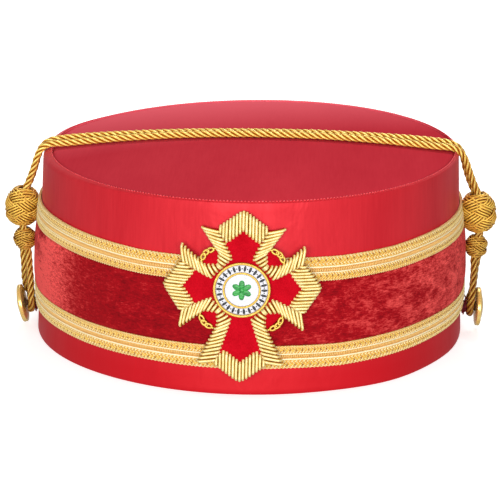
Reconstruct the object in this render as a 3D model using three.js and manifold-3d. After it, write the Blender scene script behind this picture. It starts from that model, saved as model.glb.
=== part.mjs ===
// A round ceremonial cap. A stiff satin crown carries a velvet band between two gold braids, an
// embroidered cross on the front, and a doubled twisted cord from one side button to the other.
// Millimetres, +Z up. The hem lies on z = 0 and the front faces -Y.
import * as THREE from 'three';
import { TessellateModifier } from 'three/addons/modifiers/TessellateModifier.js';
import { mergeVertices } from 'three/addons/utils/BufferGeometryUtils.js';
import Module from 'manifold-3d';

// Crown
const HEAD_ROUND = 600; // inside circumference at the hem
const OVAL_RATIO = 1.12; // front-to-back length over side-to-side width
const CROWN_HEIGHT = 78.5; // hem to the top of the shoulder
const CROWN_LEAN = 2.5; // how far each side draws in from hem to shoulder
const WALL = 2.4;
const HEM_EASE = 0.5; // rounding of the folded hem
const SHOULDER_RADIUS = 3;
const LEDGE = 4; // from the outer face to the seam of the tip
const TIP_RISE = 4;
const TIP_THICKNESS = 2;
const GAP = 0.3; // between neighbouring pieces
const AROUND = 72; // sides of each oval ring
const MIDDLE_BACK = 1.6; // the oval's middle lies this far back, because the cross stands out in front

// Trims around the crown, by their heights above the hem and their rise from the wall
const VELVET = { low: 20.8, high: 46.5, edgeRise: 1.6, roundRise: 2.3, middleRise: 2.6, round: 3.4 };
const BRAID = { velvetRise: 2, middleRise: 1.7, farRise: 1.2, ease: 0.8 };
const BRAIDS = [
  { name: 'braid_upper', velvetEdge: 46.8, farEdge: 56.2 },
  { name: 'braid_lower', velvetEdge: 20.5, farEdge: 11.3 },
];

// Cross on the front: heights of its middle and of the slope that carries it over the trims
const CROSS = { middle: 44.6, tilt: -1, facet: 6.4, splits: 8, curveSegments: 16 };
const LIFT = { onSatin: 0.4, onTrims: 2.9, lowFoot: -6, lowTop: 10.5, highTop: 57.5, highFoot: 70 };
const LAYERS = {
  ground: { from: 0, to: 1 },
  bullion: { from: 1.3, to: 2.7 },
  disc: { from: 1.3, to: 2.5 },
  rim: { from: 1.3, to: 3 },
  onDisc: { from: 2.8, to: 3.3 },
};
const ARMS = [
  { name: 'top', turn: 0, reach: 0 },
  { name: 'left', turn: 90, reach: 0 },
  { name: 'bottom', turn: 180, reach: 5.8 },
  { name: 'right', turn: -90, reach: 0 },
];
// Corners of one arm, across it and along it from the middle; far ones move out with the arm's reach
const ARM = {
  tip: { across: 0, along: 31.8, far: true },
  tipEnd: { across: 9.4, along: 25.2, far: true },
  tipHeel: { across: 6.4, along: 19.6, far: true },
  tipNotch: { across: 0, along: 24, far: true },
  barEnd: { across: 9.8, along: 24.6, far: true },
  barHeel: { across: 6.8, along: 19.3, far: true },
  barInnerRoot: { across: 3.4, along: 12.1 },
  barOuterRoot: { across: 8.1, along: 11.8 },
  wing: { across: 16.8, along: 24.8, far: true },
  groundCorner: { across: 10.4, along: 16.2 },
  groundWing: { across: 16, along: 24.2, far: true },
  groundNotch: { across: 9.5, along: 24.1, far: true },
  groundTip: { across: 0, along: 31, far: true },
};
const CORNER_BULGE = 13.4; // across and along, where the ground rounds each corner
const SCROLL = { end: { across: 11.9, along: 15 }, bulge: 14, radius: 0.9, steps: 8, sides: 6 };
const ROUNDEL = { disc: 10.1, rimInner: 10.4, rimOuter: 11.3, ringInner: 6.5, ringOuter: 7.3 };
const ROSETTE = { petals: 6, radius: 3.2, wave: 1.4, points: 48 };

// Cord, knots and buttons at the sides
const CORD_RADIUS = 1.5;
const CORD_SIDES = 8;
const KNOT = { y: -7.2, bore: 3.4, around: 16 };
const KNOTS = [
  { name: 'knot_large', radius: 7.15, height: 15.8, x: 99.6, z: 52.6, lean: 13 },
  { name: 'knot_small', radius: 4.8, height: 8.8, x: 98.9, z: 36.9, lean: -12 },
];
const SHANK = { y: -9, z: 9.6, radius: 1.1, around: 10 };
const BUTTON = { x: 98.3, radius: 8.2, edge: 2, thickness: 3.3, sink: 0.5, around: 24 };
const SIDES = [
  { name: 'left', side: -1, buttonLean: 9 },
  { name: 'right', side: 1, buttonLean: 3 },
];
// Route of the doubled cord from the middle of the top down to the shank of a button. The strands lie
// half a spread to each side of it, the front one turned outward by so many degrees.
const ROUTE = [
  { x: 0, y: 0, z: 84.3, spread: 1.55, turn: 0 },
  { x: 30, y: -0.8, z: 83.85, spread: 1.6, turn: 0 },
  { x: 56, y: -2.8, z: 82.65, spread: 1.85, turn: 0 },
  { x: 71, y: -4.6, z: 81.65, spread: 2.05, turn: 0 },
  { x: 80, y: -5.8, z: 81, spread: 2.15, turn: 0 },
  { x: 85.2, y: -6.5, z: 80.8, spread: 2.05, turn: 0 },
  { x: 88.3, y: -6.8, z: 80.1, spread: 1.9, turn: 0 },
  { x: 90.6, y: -7, z: 78.3, spread: 1.8, turn: 0 },
  { x: 92.1, y: -7.1, z: 75.4, spread: 1.7, turn: 2 },
  { x: 93.7, y: -7.2, z: 70.6, spread: 1.6, turn: 4 },
  { x: 95.6, y: -7.2, z: 65.6, spread: 1.55, turn: 8 },
  { x: 98, y: -7.2, z: 59.6, spread: 1.55, turn: 14 },
  { x: 99.6, y: -7.2, z: 52.6, spread: 1.55, turn: 26 },
  { x: 100.9, y: -7.2, z: 45.4, spread: 1.55, turn: 40 },
  { x: 99.8, y: -7.2, z: 41.2, spread: 1.55, turn: 44 },
  { x: 98, y: -7.2, z: 32.6, spread: 1.6, turn: 52 },
  { x: 97.1, y: -7.8, z: 26.4, spread: 1.95, turn: 38 },
  { x: 96.5, y: -8.7, z: 20.5, spread: 4, turn: 12 },
  { x: 96.2, y: -9, z: 15.05, spread: 5.9, turn: 2 },
  { x: 96.2, y: -9, z: 12.9, spread: 6.3, turn: 0 },
  { x: 96.2, y: -9, z: 10.75, spread: 5.9, turn: 0 },
  { x: 96.2, y: -9, z: 8.7, spread: 4.7, turn: 0 },
  { x: 96.2, y: -9, z: 7.15, spread: 2.55, turn: 0 },
  { x: 96.2, y: -9, z: 6.6, spread: 0.05, turn: 0 },
];

const MATERIALS = {
  satin: { color: '#c62a38', roughness: 0.42, metalness: 0 },
  velvet: { color: '#a3141f', roughness: 0.85, metalness: 0 },
  braid: { color: '#e6c077', roughness: 0.45, metalness: 0.3 },
  felt: { color: '#d31428', roughness: 0.9, metalness: 0 },
  bullion: { color: '#e0bf74', roughness: 0.35, metalness: 0.6 },
  white: { color: '#f1efe9', roughness: 0.6, metalness: 0 },
  green: { color: '#1f8f45', roughness: 0.6, metalness: 0 },
  cord: { color: '#d8a63a', roughness: 0.45, metalness: 0.2 },
  brass: { color: '#c6984a', roughness: 0.35, metalness: 0.9 },
};

const wasm = await Module();
wasm.setup();
const cap = new THREE.Group();
cap.position.y = MIDDLE_BACK;

function addPiece(name, geometry, material) {
  const piece = new THREE.Mesh(geometry, new THREE.MeshStandardMaterial(MATERIALS[material]));
  piece.name = name;
  cap.add(piece);
  return piece;
}

// Keeps only the places of the vertices, with those that coincide joined
function joinVertices(geometry) {
  geometry.deleteAttribute('normal');
  geometry.deleteAttribute('uv');
  const joined = mergeVertices(geometry, 1e-4);
  joined.computeVertexNormals();
  return joined;
}

// Moves each vertex of a geometry to the place that a function gives for it
function reshape(geometry, place) {
  const position = geometry.getAttribute('position');
  const point = new THREE.Vector3();
  for (let i = 0; i < position.count; i += 1) {
    point.fromBufferAttribute(position, i);
    const moved = place(point);
    position.setXYZ(i, moved.x, moved.y, moved.z);
  }
  return joinVertices(geometry);
}

function solidOf(geometry) {
  const joined = joinVertices(geometry);
  const vertProperties = new Float32Array(joined.getAttribute('position').array);
  const triVerts = new Uint32Array(joined.index.array);
  return new wasm.Manifold(new wasm.Mesh({ numProp: 3, vertProperties, triVerts }));
}

function fuse(first, second) {
  const mesh = solidOf(first).add(solidOf(second)).getMesh();
  const geometry = new THREE.BufferGeometry();
  geometry.setAttribute('position', new THREE.BufferAttribute(mesh.vertProperties, 3));
  geometry.setIndex(new THREE.BufferAttribute(mesh.triVerts, 1));
  geometry.computeVertexNormals();
  return geometry;
}

// Half axes of the crown's outer face: the head's oval, plus the wall, less the lean at that height
const ovalShape = ((OVAL_RATIO - 1) / (OVAL_RATIO + 1)) ** 2;
const headHalfWidth = HEAD_ROUND / (Math.PI * (1 + OVAL_RATIO) * (1 + ovalShape / 4));
const leanAt = (up) => (CROWN_LEAN * up) / CROWN_HEIGHT;
const halfWidth = (up) => headHalfWidth + WALL - leanAt(up);
const halfLength = (up) => headHalfWidth * OVAL_RATIO + WALL - leanAt(up);

// A point of the crown by its turn from the front towards +X, its height and its distance from the face
function onCrown(turn, up, out) {
  const a = halfWidth(up);
  const b = halfLength(up);
  const normal = new THREE.Vector2(Math.sin(turn) / a, -Math.cos(turn) / b).normalize();
  return new THREE.Vector3(a * Math.sin(turn) + out * normal.x, -b * Math.cos(turn) + out * normal.y, up);
}

// A closed section, out from the crown's face and up from the hem, carried around the oval
function ovalRing(section) {
  const profile = section.map(({ out, up }) => new THREE.Vector2(HEAD_ROUND + out, up));
  profile.push(profile[0].clone());
  const ring = new THREE.LatheGeometry(profile, AROUND);
  return reshape(ring, (p) => onCrown(Math.atan2(p.x, p.z), p.y, Math.hypot(p.x, p.z) - HEAD_ROUND));
}

function crownWall() {
  const shoulder = [0, 30, 60, 90].map((degrees) => {
    const angle = THREE.MathUtils.degToRad(degrees);
    return {
      out: SHOULDER_RADIUS * (Math.cos(angle) - 1),
      up: CROWN_HEIGHT - SHOULDER_RADIUS * (1 - Math.sin(angle)),
    };
  });
  return ovalRing([
    { out: HEM_EASE - WALL, up: 0 },
    { out: -HEM_EASE, up: 0 },
    { out: 0, up: HEM_EASE },
    ...shoulder,
    { out: -LEDGE, up: CROWN_HEIGHT },
    { out: -LEDGE, up: CROWN_HEIGHT - WALL },
    { out: -WALL, up: CROWN_HEIGHT - SHOULDER_RADIUS - HEM_EASE },
    { out: -WALL, up: HEM_EASE },
  ]);
}

// The top panel, a shallow dome inside the ledge, thinner than the wall
function crownTip() {
  const rimWidth = halfWidth(CROWN_HEIGHT) - LEDGE - GAP;
  const rimLength = halfLength(CROWN_HEIGHT) - LEDGE - GAP;
  const topAt = (share) => CROWN_HEIGHT + TIP_RISE * (1 - share ** 2);
  const under = [0, 0.5, 1].map((share) => new THREE.Vector2(share, topAt(share) - TIP_THICKNESS));
  const over = [1, 0.75, 0.5, 0.25, 0].map((share) => new THREE.Vector2(share, topAt(share)));
  const dome = new THREE.LatheGeometry([...under, ...over], AROUND);
  return reshape(dome, (p) => new THREE.Vector3(p.x * rimWidth, -p.z * rimLength, p.y));
}

function velvetBand() {
  const { low, high, edgeRise, roundRise, middleRise, round } = VELVET;
  return ovalRing([
    { out: GAP, up: low },
    { out: edgeRise, up: low },
    { out: roundRise, up: low + round },
    { out: middleRise, up: (low + high) / 2 },
    { out: roundRise, up: high - round },
    { out: edgeRise, up: high },
    { out: GAP, up: high },
  ]);
}

// A flat braid that stands out a little more along the velvet than along its far edge
function braidBand({ velvetEdge, farEdge }) {
  const inward = Math.sign(velvetEdge - farEdge);
  const section = [
    { out: GAP, up: farEdge },
    { out: GAP, up: velvetEdge },
    { out: BRAID.velvetRise - BRAID.ease, up: velvetEdge },
    { out: BRAID.velvetRise, up: velvetEdge - inward * BRAID.ease },
    { out: BRAID.middleRise, up: (velvetEdge + farEdge) / 2 },
    { out: BRAID.farRise, up: farEdge + inward * BRAID.ease },
    { out: BRAID.farRise - BRAID.ease / 2, up: farEdge },
  ];
  return ovalRing(inward > 0 ? section.reverse() : section);
}

// How far the cross stands off the crown's face at a height: clear of the trims, low on the satin
function crossLift(up) {
  const share = up < CROSS.middle
    ? THREE.MathUtils.smoothstep(up, LIFT.lowFoot, LIFT.lowTop)
    : 1 - THREE.MathUtils.smoothstep(up, LIFT.highTop, LIFT.highFoot);
  return THREE.MathUtils.lerp(LIFT.onSatin, LIFT.onTrims, share);
}

// The turn from the front that lies a given way round the crown, stepped along the oval
function turnAt(around, up) {
  const steps = 16; // fine enough for the small turn of the cross
  const a = halfWidth(up) + LIFT.onTrims;
  const b = halfLength(up) + LIFT.onTrims;
  let turn = 0;
  for (let i = 0; i < steps; i += 1) {
    turn += around / steps / Math.hypot(a * Math.cos(turn), b * Math.sin(turn));
  }
  return turn;
}

// Lays a point of the flat cross (right, up, out) on the crown
function onCross(point) {
  const outward = new THREE.Vector3(0, 0, 1);
  const tilted = point.clone().applyAxisAngle(outward, THREE.MathUtils.degToRad(CROSS.tilt));
  const up = CROSS.middle + tilted.y;
  return onCrown(turnAt(tilted.x, up), up, crossLift(up) + tilted.z);
}

function crossLayer(outline, { from, to }) {
  const flat = new THREE.ExtrudeGeometry(outline, {
    depth: to - from,
    bevelEnabled: false,
    curveSegments: CROSS.curveSegments,
  });
  flat.translate(0, 0, from);
  return reshape(new TessellateModifier(CROSS.facet, CROSS.splits).modify(flat), onCross);
}

// A corner of an arm in the flat cross; hand is 1 on the arm's right side and -1 on its left
function armPoint(arm, corner, hand) {
  const along = corner.along + (corner.far ? arm.reach : 0);
  const turn = THREE.MathUtils.degToRad(arm.turn);
  return new THREE.Vector2(hand * corner.across, along).rotateAround(new THREE.Vector2(0, 0), turn);
}

function armOutline(arm, corners) {
  return new THREE.Shape(corners.map(([name, hand]) => armPoint(arm, ARM[name], hand)));
}

function groundOutline() {
  const bulge = { across: CORNER_BULGE, along: CORNER_BULGE };
  const rightSide = ['groundCorner', 'groundWing', 'groundNotch', 'groundTip'];
  const leftSide = ['groundNotch', 'groundWing', 'groundCorner'];
  const points = ARMS.flatMap((arm) => [
    armPoint(arm, bulge, 1),
    ...rightSide.map((name) => armPoint(arm, ARM[name], 1)),
    ...leftSide.map((name) => armPoint(arm, ARM[name], -1)),
  ]);
  return new THREE.Shape(points);
}

function bullionTip(arm) {
  const corners = [
    ['tip', 1],
    ['tipEnd', -1],
    ['tipHeel', -1],
    ['tipNotch', 1],
    ['tipHeel', 1],
    ['tipEnd', 1],
  ];
  return crossLayer(armOutline(arm, corners), LAYERS.bullion);
}

function bullionBar(arm, hand) {
  const corners = ['barEnd', 'barHeel', 'barInnerRoot', 'barOuterRoot', 'wing'];
  return crossLayer(armOutline(arm, corners.map((name) => [name, hand])), LAYERS.bullion);
}

function polygon(radius, sides) {
  const corners = Array.from({ length: sides }, (_, i) => {
    const angle = (i / sides) * 2 * Math.PI;
    return new THREE.Vector2(radius * Math.cos(angle), radius * Math.sin(angle));
  });
  return new THREE.Shape(corners);
}

// A gold purl that arches across the corner on an arm's right side
function cornerScroll(arm) {
  const bulge = { across: SCROLL.bulge, along: SCROLL.bulge };
  const otherEnd = { across: SCROLL.end.along, along: SCROLL.end.across };
  const middle = (LAYERS.bullion.from + LAYERS.bullion.to) / 2;
  const arch = [SCROLL.end, bulge, otherEnd].map((corner) => {
    const flat = armPoint(arm, corner, 1);
    return onCross(new THREE.Vector3(flat.x, flat.y, middle));
  });
  return joinVertices(new THREE.ExtrudeGeometry(polygon(SCROLL.radius, SCROLL.sides), {
    steps: SCROLL.steps,
    extrudePath: new THREE.CatmullRomCurve3(arch),
  }));
}

function circle(radius) {
  return new THREE.Shape().absarc(0, 0, radius, 0, 2 * Math.PI);
}

function ring(inner, outer) {
  const outline = circle(outer);
  outline.holes.push(new THREE.Path().absarc(0, 0, inner, 0, 2 * Math.PI));
  return outline;
}

function rosette() {
  const { petals, radius, wave, points } = ROSETTE;
  const edge = Array.from({ length: points }, (_, i) => {
    const angle = (i / points) * 2 * Math.PI;
    const reach = radius + wave * Math.cos(petals * angle);
    return new THREE.Vector2(reach * Math.sin(angle), reach * Math.cos(angle));
  });
  return new THREE.Shape(edge.reverse());
}

// A curve that steps from one of its points to the next, close together only where the bend is tight
class CordCurve extends THREE.CatmullRomCurve3 {
  getPointAt(share, target) {
    return this.getPoint(share, target);
  }

  getTangentAt(share, target) {
    return this.getTangent(share, target);
  }
}

// One loop of cord: the front strand from left to right, round the right shank, and the back strand home
function cordLoop() {
  const strand = (side, hand) => ({ x, y, z, spread, turn }) => {
    const angle = THREE.MathUtils.degToRad(turn);
    const outward = x + hand * spread * Math.sin(angle);
    return new THREE.Vector3(side * outward, y - hand * spread * Math.cos(angle), z);
  };
  const upward = [...ROUTE].reverse();
  const below = ROUTE.slice(1);
  const points = [
    ...upward.map(strand(-1, 1)),
    ...below.map(strand(1, 1)),
    ...upward.slice(1).map(strand(1, -1)),
    ...below.map(strand(-1, -1)),
  ];
  return joinVertices(new THREE.ExtrudeGeometry(polygon(CORD_RADIUS, CORD_SIDES), {
    steps: points.length - 1,
    extrudePath: new CordCurve(points),
  }));
}

// A woven knot as a barrel with a bore for the doubled cord, mirrored about its middle
function knotBarrel({ radius, height }) {
  const upperHalf = [
    { across: radius, share: 0 },
    { across: 0.93 * radius, share: 0.6 },
    { across: (KNOT.bore + radius) / 2, share: 1 },
    { across: KNOT.bore, share: 0.92 },
  ];
  const lowerHalf = upperHalf.slice(1).map(({ across, share }) => ({ across, share: -share }));
  const outline = [...lowerHalf.reverse(), ...upperHalf];
  const profile = outline.map(({ across, share }) => new THREE.Vector2(across, (share * height) / 2));
  profile.push(profile[0].clone());
  return new THREE.LatheGeometry(profile, KNOT.around).rotateX(Math.PI / 2);
}

// A domed disc that leans out at its top, soldered to a straight shank; the outward way is +X
function sideButton(lean) {
  const { radius, edge, thickness } = BUTTON;
  const outline = [
    { across: 0, out: 0 },
    { across: radius - edge / 2, out: 0 },
    { across: radius, out: edge / 2 },
    { across: radius, out: edge },
    { across: 0.9 * radius, out: edge + 0.45 * (thickness - edge) },
    { across: 0.6 * radius, out: edge + 0.8 * (thickness - edge) },
    { across: 0, out: thickness },
  ];
  const profile = outline.map(({ across, out }) => new THREE.Vector2(across, out));
  const disc = new THREE.LatheGeometry(profile, BUTTON.around).rotateZ(-Math.PI / 2);
  disc.rotateY(THREE.MathUtils.degToRad(lean)).translate(BUTTON.x, 0, 0);
  const face = onCrown(Math.asin(1), SHANK.z, 0).x;
  const length = BUTTON.x + BUTTON.sink - face - GAP;
  const shank = new THREE.CylinderGeometry(SHANK.radius, SHANK.radius, length, SHANK.around);
  shank.rotateZ(-Math.PI / 2).translate(face + GAP + length / 2, 0, 0);
  return fuse(disc, shank);
}

addPiece('crown_wall', crownWall(), 'satin');
addPiece('crown_tip', crownTip(), 'satin');
addPiece('velvet_band', velvetBand(), 'velvet');
BRAIDS.forEach((braid) => addPiece(braid.name, braidBand(braid), 'braid'));

addPiece('cross_ground', crossLayer(groundOutline(), LAYERS.ground), 'felt');
ARMS.forEach((arm) => {
  addPiece(`bullion_tip_${arm.name}`, bullionTip(arm), 'bullion');
  addPiece(`bullion_bar_${arm.name}_1`, bullionBar(arm, -1), 'bullion');
  addPiece(`bullion_bar_${arm.name}_2`, bullionBar(arm, 1), 'bullion');
  addPiece(`corner_scroll_${arm.name}`, cornerScroll(arm), 'bullion');
});
addPiece('roundel_disc', crossLayer(circle(ROUNDEL.disc), LAYERS.disc), 'white');
addPiece('roundel_rim', crossLayer(ring(ROUNDEL.rimInner, ROUNDEL.rimOuter), LAYERS.rim), 'bullion');
addPiece('roundel_ring', crossLayer(ring(ROUNDEL.ringInner, ROUNDEL.ringOuter), LAYERS.onDisc), 'bullion');
addPiece('roundel_rosette', crossLayer(rosette(), LAYERS.onDisc), 'green');

addPiece('cap_cord', cordLoop(), 'cord');
SIDES.forEach(({ name, side, buttonLean }) => {
  KNOTS.forEach((knot) => {
    const barrel = addPiece(`${knot.name}_${name}`, knotBarrel(knot), 'cord');
    barrel.position.set(side * knot.x, KNOT.y, knot.z);
    barrel.rotation.y = -side * THREE.MathUtils.degToRad(knot.lean);
  });
  const button = addPiece(`side_button_${name}`, sideButton(buttonLean), 'brass');
  button.position.set(0, SHANK.y, SHANK.z);
  if (side < 0) {
    button.rotation.z = Math.PI;
  }
});

const crownCap = new THREE.Group();
crownCap.add(cap);
export default crownCap;
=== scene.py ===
import math

import bpy
import numpy as np
from mathutils import Matrix, Vector


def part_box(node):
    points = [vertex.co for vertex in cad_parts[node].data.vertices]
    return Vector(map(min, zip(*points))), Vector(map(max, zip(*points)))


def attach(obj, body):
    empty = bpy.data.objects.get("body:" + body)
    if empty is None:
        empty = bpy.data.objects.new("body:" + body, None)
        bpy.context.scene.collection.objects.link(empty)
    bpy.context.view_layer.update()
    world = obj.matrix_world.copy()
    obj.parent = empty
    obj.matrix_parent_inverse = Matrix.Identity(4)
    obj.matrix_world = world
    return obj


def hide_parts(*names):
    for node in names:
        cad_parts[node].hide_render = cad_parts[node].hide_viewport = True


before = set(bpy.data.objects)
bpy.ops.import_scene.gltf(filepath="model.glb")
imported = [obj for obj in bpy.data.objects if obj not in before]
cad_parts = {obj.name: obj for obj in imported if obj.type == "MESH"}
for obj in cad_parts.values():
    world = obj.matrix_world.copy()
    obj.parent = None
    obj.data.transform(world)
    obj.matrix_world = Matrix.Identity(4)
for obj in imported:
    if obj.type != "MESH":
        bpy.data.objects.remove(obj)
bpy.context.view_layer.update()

mm = 0.001
full = 2 * math.pi

# the crown's oval, read from its solid: everything else is laid on it
wallLow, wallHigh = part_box("crown_wall")
crown = dict(
    middle=(wallLow.y + wallHigh.y) / 2,
    halfWidth=wallHigh.x,
    halfLength=(wallHigh.y - wallLow.y) / 2,
    height=wallHigh.z,
    lean=2.5 * mm,  # each side draws in by this much from hem to shoulder
    # the soft oval as it stands: fuller on its right, drawn in at the top, its hem a little to the left
    fuller=0.04,
    narrower=0.006,
    hemShift=-1.0 * mm,
    # its swells: degrees from the front to the right and to either side, then how fast each fades upwards
    swells=[
        dict(turn=-112, spread=13, out=2.6 * mm, low=0),
        dict(turn=66, spread=16, out=1.5 * mm, low=1),
        dict(turn=40, spread=14, out=2.2 * mm, low=4),
    ],
    girth=640 * mm,  # by which the braids' stitches and the velvet's marks are spaced
)

# how far the lower and the upper trim were sewn above their lines, by x (mm)
sewnLine = dict(
    lower=[
        (-92, 1.1), (-78, 1.0), (-64, 0.6), (-41, 0.35), (-15, 0),
        (20, 0), (40, -0.5), (55, 0), (69, 0.4), (92, 1.4),
    ],
    upper=[
        (-92, 2.3), (-78, 2.0), (-64, 1.2), (-49, 0.4), (-41, 0),
        (20, 0), (40, -0.7), (61, -0.6), (73, 0), (92, 0.6),
    ],
    lowerUp=16 * mm,
    gap=35 * mm,  # from the lower trim up to the upper one
    level=60 * mm,  # behind the middle by this much they lie level again
)


# Camera, floor and light

view = dict(
    target=(0, crown["middle"], crown["height"] / 2),
    azimuth=2.2,
    elevation=14.76,
    distance=1.052,
    focalPixels=2412,
    imagePixels=500,
    targetPixel=(251.3, 234),  # where the target lies in the picture
    sensor=36,
)


def directionFrom(azimuth, elevation):
    a = math.radians(azimuth)
    e = math.radians(elevation)
    return Vector((math.sin(a) * math.cos(e), -math.cos(a) * math.cos(e), math.sin(e)))


def makeCamera():
    target = Vector(view["target"])
    back = directionFrom(view["azimuth"], view["elevation"])
    bpy.ops.object.camera_add(location=target + back * view["distance"])
    camera = bpy.context.active_object
    camera.rotation_euler = (-back).to_track_quat("-Z", "Y").to_euler()
    camera.data.sensor_width = view["sensor"]
    camera.data.lens = view["focalPixels"] / view["imagePixels"] * view["sensor"]
    half = view["imagePixels"] / 2
    camera.data.shift_x = (half - view["targetPixel"][0]) / view["imagePixels"]
    camera.data.shift_y = (view["targetPixel"][1] - half) / view["imagePixels"]
    camera.data.clip_start = 0.05
    camera.data.clip_end = 50
    bpy.context.scene.camera = camera


studio = dict(
    worldStrength=0.4,
    floorSize=14,
    floorDrop=0.05 * mm,
    floorGlow=[(0, 0.56), (0.16, 0.56), (0.5, 0.9)],  # by distance from the middle
    lights=[
        dict(name="keyLight", azimuth=-1, elevation=10, distance=1.7, wide=1.7, tall=0.7, power=33.5),
        dict(name="topLight", azimuth=174, elevation=46, distance=1.6, wide=0.6, tall=0.4, power=10.9),
        dict(name="backLight", azimuth=180, elevation=7, distance=2.0, wide=2.0, tall=0.4, power=1.8),
    ],
)


def deselectAll():
    if bpy.context.mode != "OBJECT":
        bpy.ops.object.mode_set(mode="OBJECT")
    bpy.ops.object.select_all(action="DESELECT")


def makeStudio():
    scene = bpy.context.scene
    scene.view_settings.view_transform = "Standard"
    scene.view_settings.look = "None"
    world = bpy.data.worlds.new("studioWorld")
    world.use_nodes = True
    background = world.node_tree.nodes["Background"]
    background.inputs["Color"].default_value = grey(1)
    background.inputs["Strength"].default_value = studio["worldStrength"]
    scene.world = world
    target = Vector(view["target"])
    for row in studio["lights"]:
        back = directionFrom(row["azimuth"], row["elevation"])
        bpy.ops.object.light_add(type="AREA", location=target + back * row["distance"])
        light = bpy.context.active_object
        light.name = row["name"]
        light.rotation_euler = (-back).to_track_quat("-Z", "Y").to_euler()
        light.data.shape = "RECTANGLE"
        light.data.size = row["wide"]
        light.data.size_y = row["tall"]
        light.data.energy = row["power"]
    deselectAll()
    bpy.ops.mesh.primitive_plane_add(size=studio["floorSize"], location=(0, 0, -studio["floorDrop"]))
    floor = bpy.context.active_object
    floor.name = "studioFloor"
    floor.data.materials.append(floorMaterial())
    # its white throws no light back up the cloth
    floor.visible_diffuse = False
    floor.visible_glossy = False


# Small helpers for node trees

def srgb(red, green, blue):
    def linear(value):
        share = value / 255
        return share / 12.92 if share <= 0.04045 else ((share + 0.055) / 1.055) ** 2.4
    return (linear(red), linear(green), linear(blue), 1)


def grey(value):
    return (value, value, value, 1)


def newMaterial(name, **sockets):
    material = bpy.data.materials.new(name)
    material.use_nodes = True
    tree = material.node_tree
    surface = tree.nodes["Principled BSDF"]
    for label, value in sockets.items():
        surface.inputs[label.replace("_", " ")].default_value = value
    return material, tree, surface


def put(tree, kind, inputs=None, **settings):
    node = tree.nodes.new(kind)
    for label, value in settings.items():
        setattr(node, label, value)
    for label, value in (inputs or {}).items():
        plug(tree, value, node.inputs[label])
    return node


# a socket is linked, anything else becomes the socket's own value
def plug(tree, value, socket):
    if isinstance(value, bpy.types.NodeSocket):
        tree.links.new(value, socket)
    else:
        socket.default_value = value


def calc(tree, operation, *values):
    node = put(tree, "ShaderNodeMath", operation=operation)
    for value, socket in zip(values, node.inputs):
        plug(tree, value, socket)
    return node.outputs[0]


def objectPlace(tree):
    return put(tree, "ShaderNodeTexCoord").outputs["Object"]


def stretched(tree, place, scale):
    return put(tree, "ShaderNodeMapping", {"Vector": place, "Scale": scale}).outputs["Vector"]


def noise(tree, place, detail=3.0, roughness=0.55, scale=1.0, distortion=0.0):
    inputs = {"Vector": place, "Scale": scale, "Detail": detail, "Roughness": roughness}
    inputs["Distortion"] = distortion
    return put(tree, "ShaderNodeTexNoise", inputs).outputs["Fac"]


def ramp(tree, factor, *stops):
    node = put(tree, "ShaderNodeValToRGB", {"Fac": factor})
    points = node.color_ramp.elements
    while len(points) < len(stops):
        points.new(0.5)
    for point, (position, colour) in zip(points, stops):
        point.position = position
        point.color = colour
    return node.outputs["Color"]


def blend(tree, factor, first, second, mode="MIX"):
    node = put(tree, "ShaderNodeMix", data_type="RGBA", blend_type=mode)
    plug(tree, factor, node.inputs[0])
    plug(tree, first, node.inputs[6])
    plug(tree, second, node.inputs[7])
    return node.outputs[2]


def rescale(tree, value, low, high, newLow, newHigh):
    inputs = {"Value": value, "From Min": low, "From Max": high, "To Min": newLow, "To Max": newHigh}
    return put(tree, "ShaderNodeMapRange", inputs).outputs["Result"]


def bump(tree, surface, height, distance, strength=1.0):
    node = put(tree, "ShaderNodeBump", {"Height": height, "Distance": distance, "Strength": strength})
    before = surface.inputs["Normal"].links
    if before:
        tree.links.new(before[0].from_socket, node.inputs["Normal"])
    tree.links.new(node.outputs["Normal"], surface.inputs["Normal"])


# the share of a turn round the crown, from -0.5 to 0.5, and the height in millimetres
def aroundAndUp(tree):
    parts = put(tree, "ShaderNodeSeparateXYZ", {"Vector": objectPlace(tree)})
    ahead = calc(tree, "SUBTRACT", crown["middle"], parts.outputs["Y"])
    wide = calc(tree, "DIVIDE", parts.outputs["X"], crown["halfWidth"])
    long = calc(tree, "DIVIDE", ahead, crown["halfLength"])
    turn = calc(tree, "DIVIDE", calc(tree, "ARCTAN2", wide, long), full)
    return turn, calc(tree, "DIVIDE", parts.outputs["Z"], mm)


def floorMaterial():
    material, tree, surface = newMaterial("paleFloor", Roughness=0.75, Emission_Color=grey(1))
    place = objectPlace(tree)
    grain = noise(tree, place, scale=9)
    colour = ramp(tree, grain, (0.3, grey(0.9)), (0.7, grey(0.93)))
    tree.links.new(colour, surface.inputs["Base Color"])
    glow = studio["floorGlow"]
    first, last = glow[0][0], glow[-1][0]
    away = put(tree, "ShaderNodeVectorMath", {"Vector": place}, operation="LENGTH").outputs["Value"]
    share = rescale(tree, away, first, last, 0, 1)
    stops = [((at - first) / (last - first), grey(strength)) for at, strength in glow]
    tree.links.new(ramp(tree, share, *stops), surface.inputs["Emission Strength"])
    return material


# Small helpers for meshes

def fuller(places):
    x, up = places[:, 0], places[:, 2]
    low = 1 - up / crown["height"]
    ahead = (crown["middle"] - places[:, 1]) * (1 + crown["fuller"] * x / crown["halfWidth"])
    across, along = x / crown["halfWidth"], ahead / crown["halfLength"]
    turn = np.degrees(np.arctan2(across, along))
    # a swell fades towards the middle of the top
    nearFace = np.clip(np.hypot(across, along), 0, 1.1) ** 4
    grown = 1
    for row in crown["swells"]:
        share = np.exp(-((turn - row["turn"]) / row["spread"]) ** 2) * nearFace
        grown = grown + row["out"] / crown["halfLength"] * share * low ** row["low"]
    x = x * grown * (1 - crown["narrower"] * (1 - low)) + crown["hemShift"] * low
    return np.stack([x, crown["middle"] - ahead * grown, up], axis=1)


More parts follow.
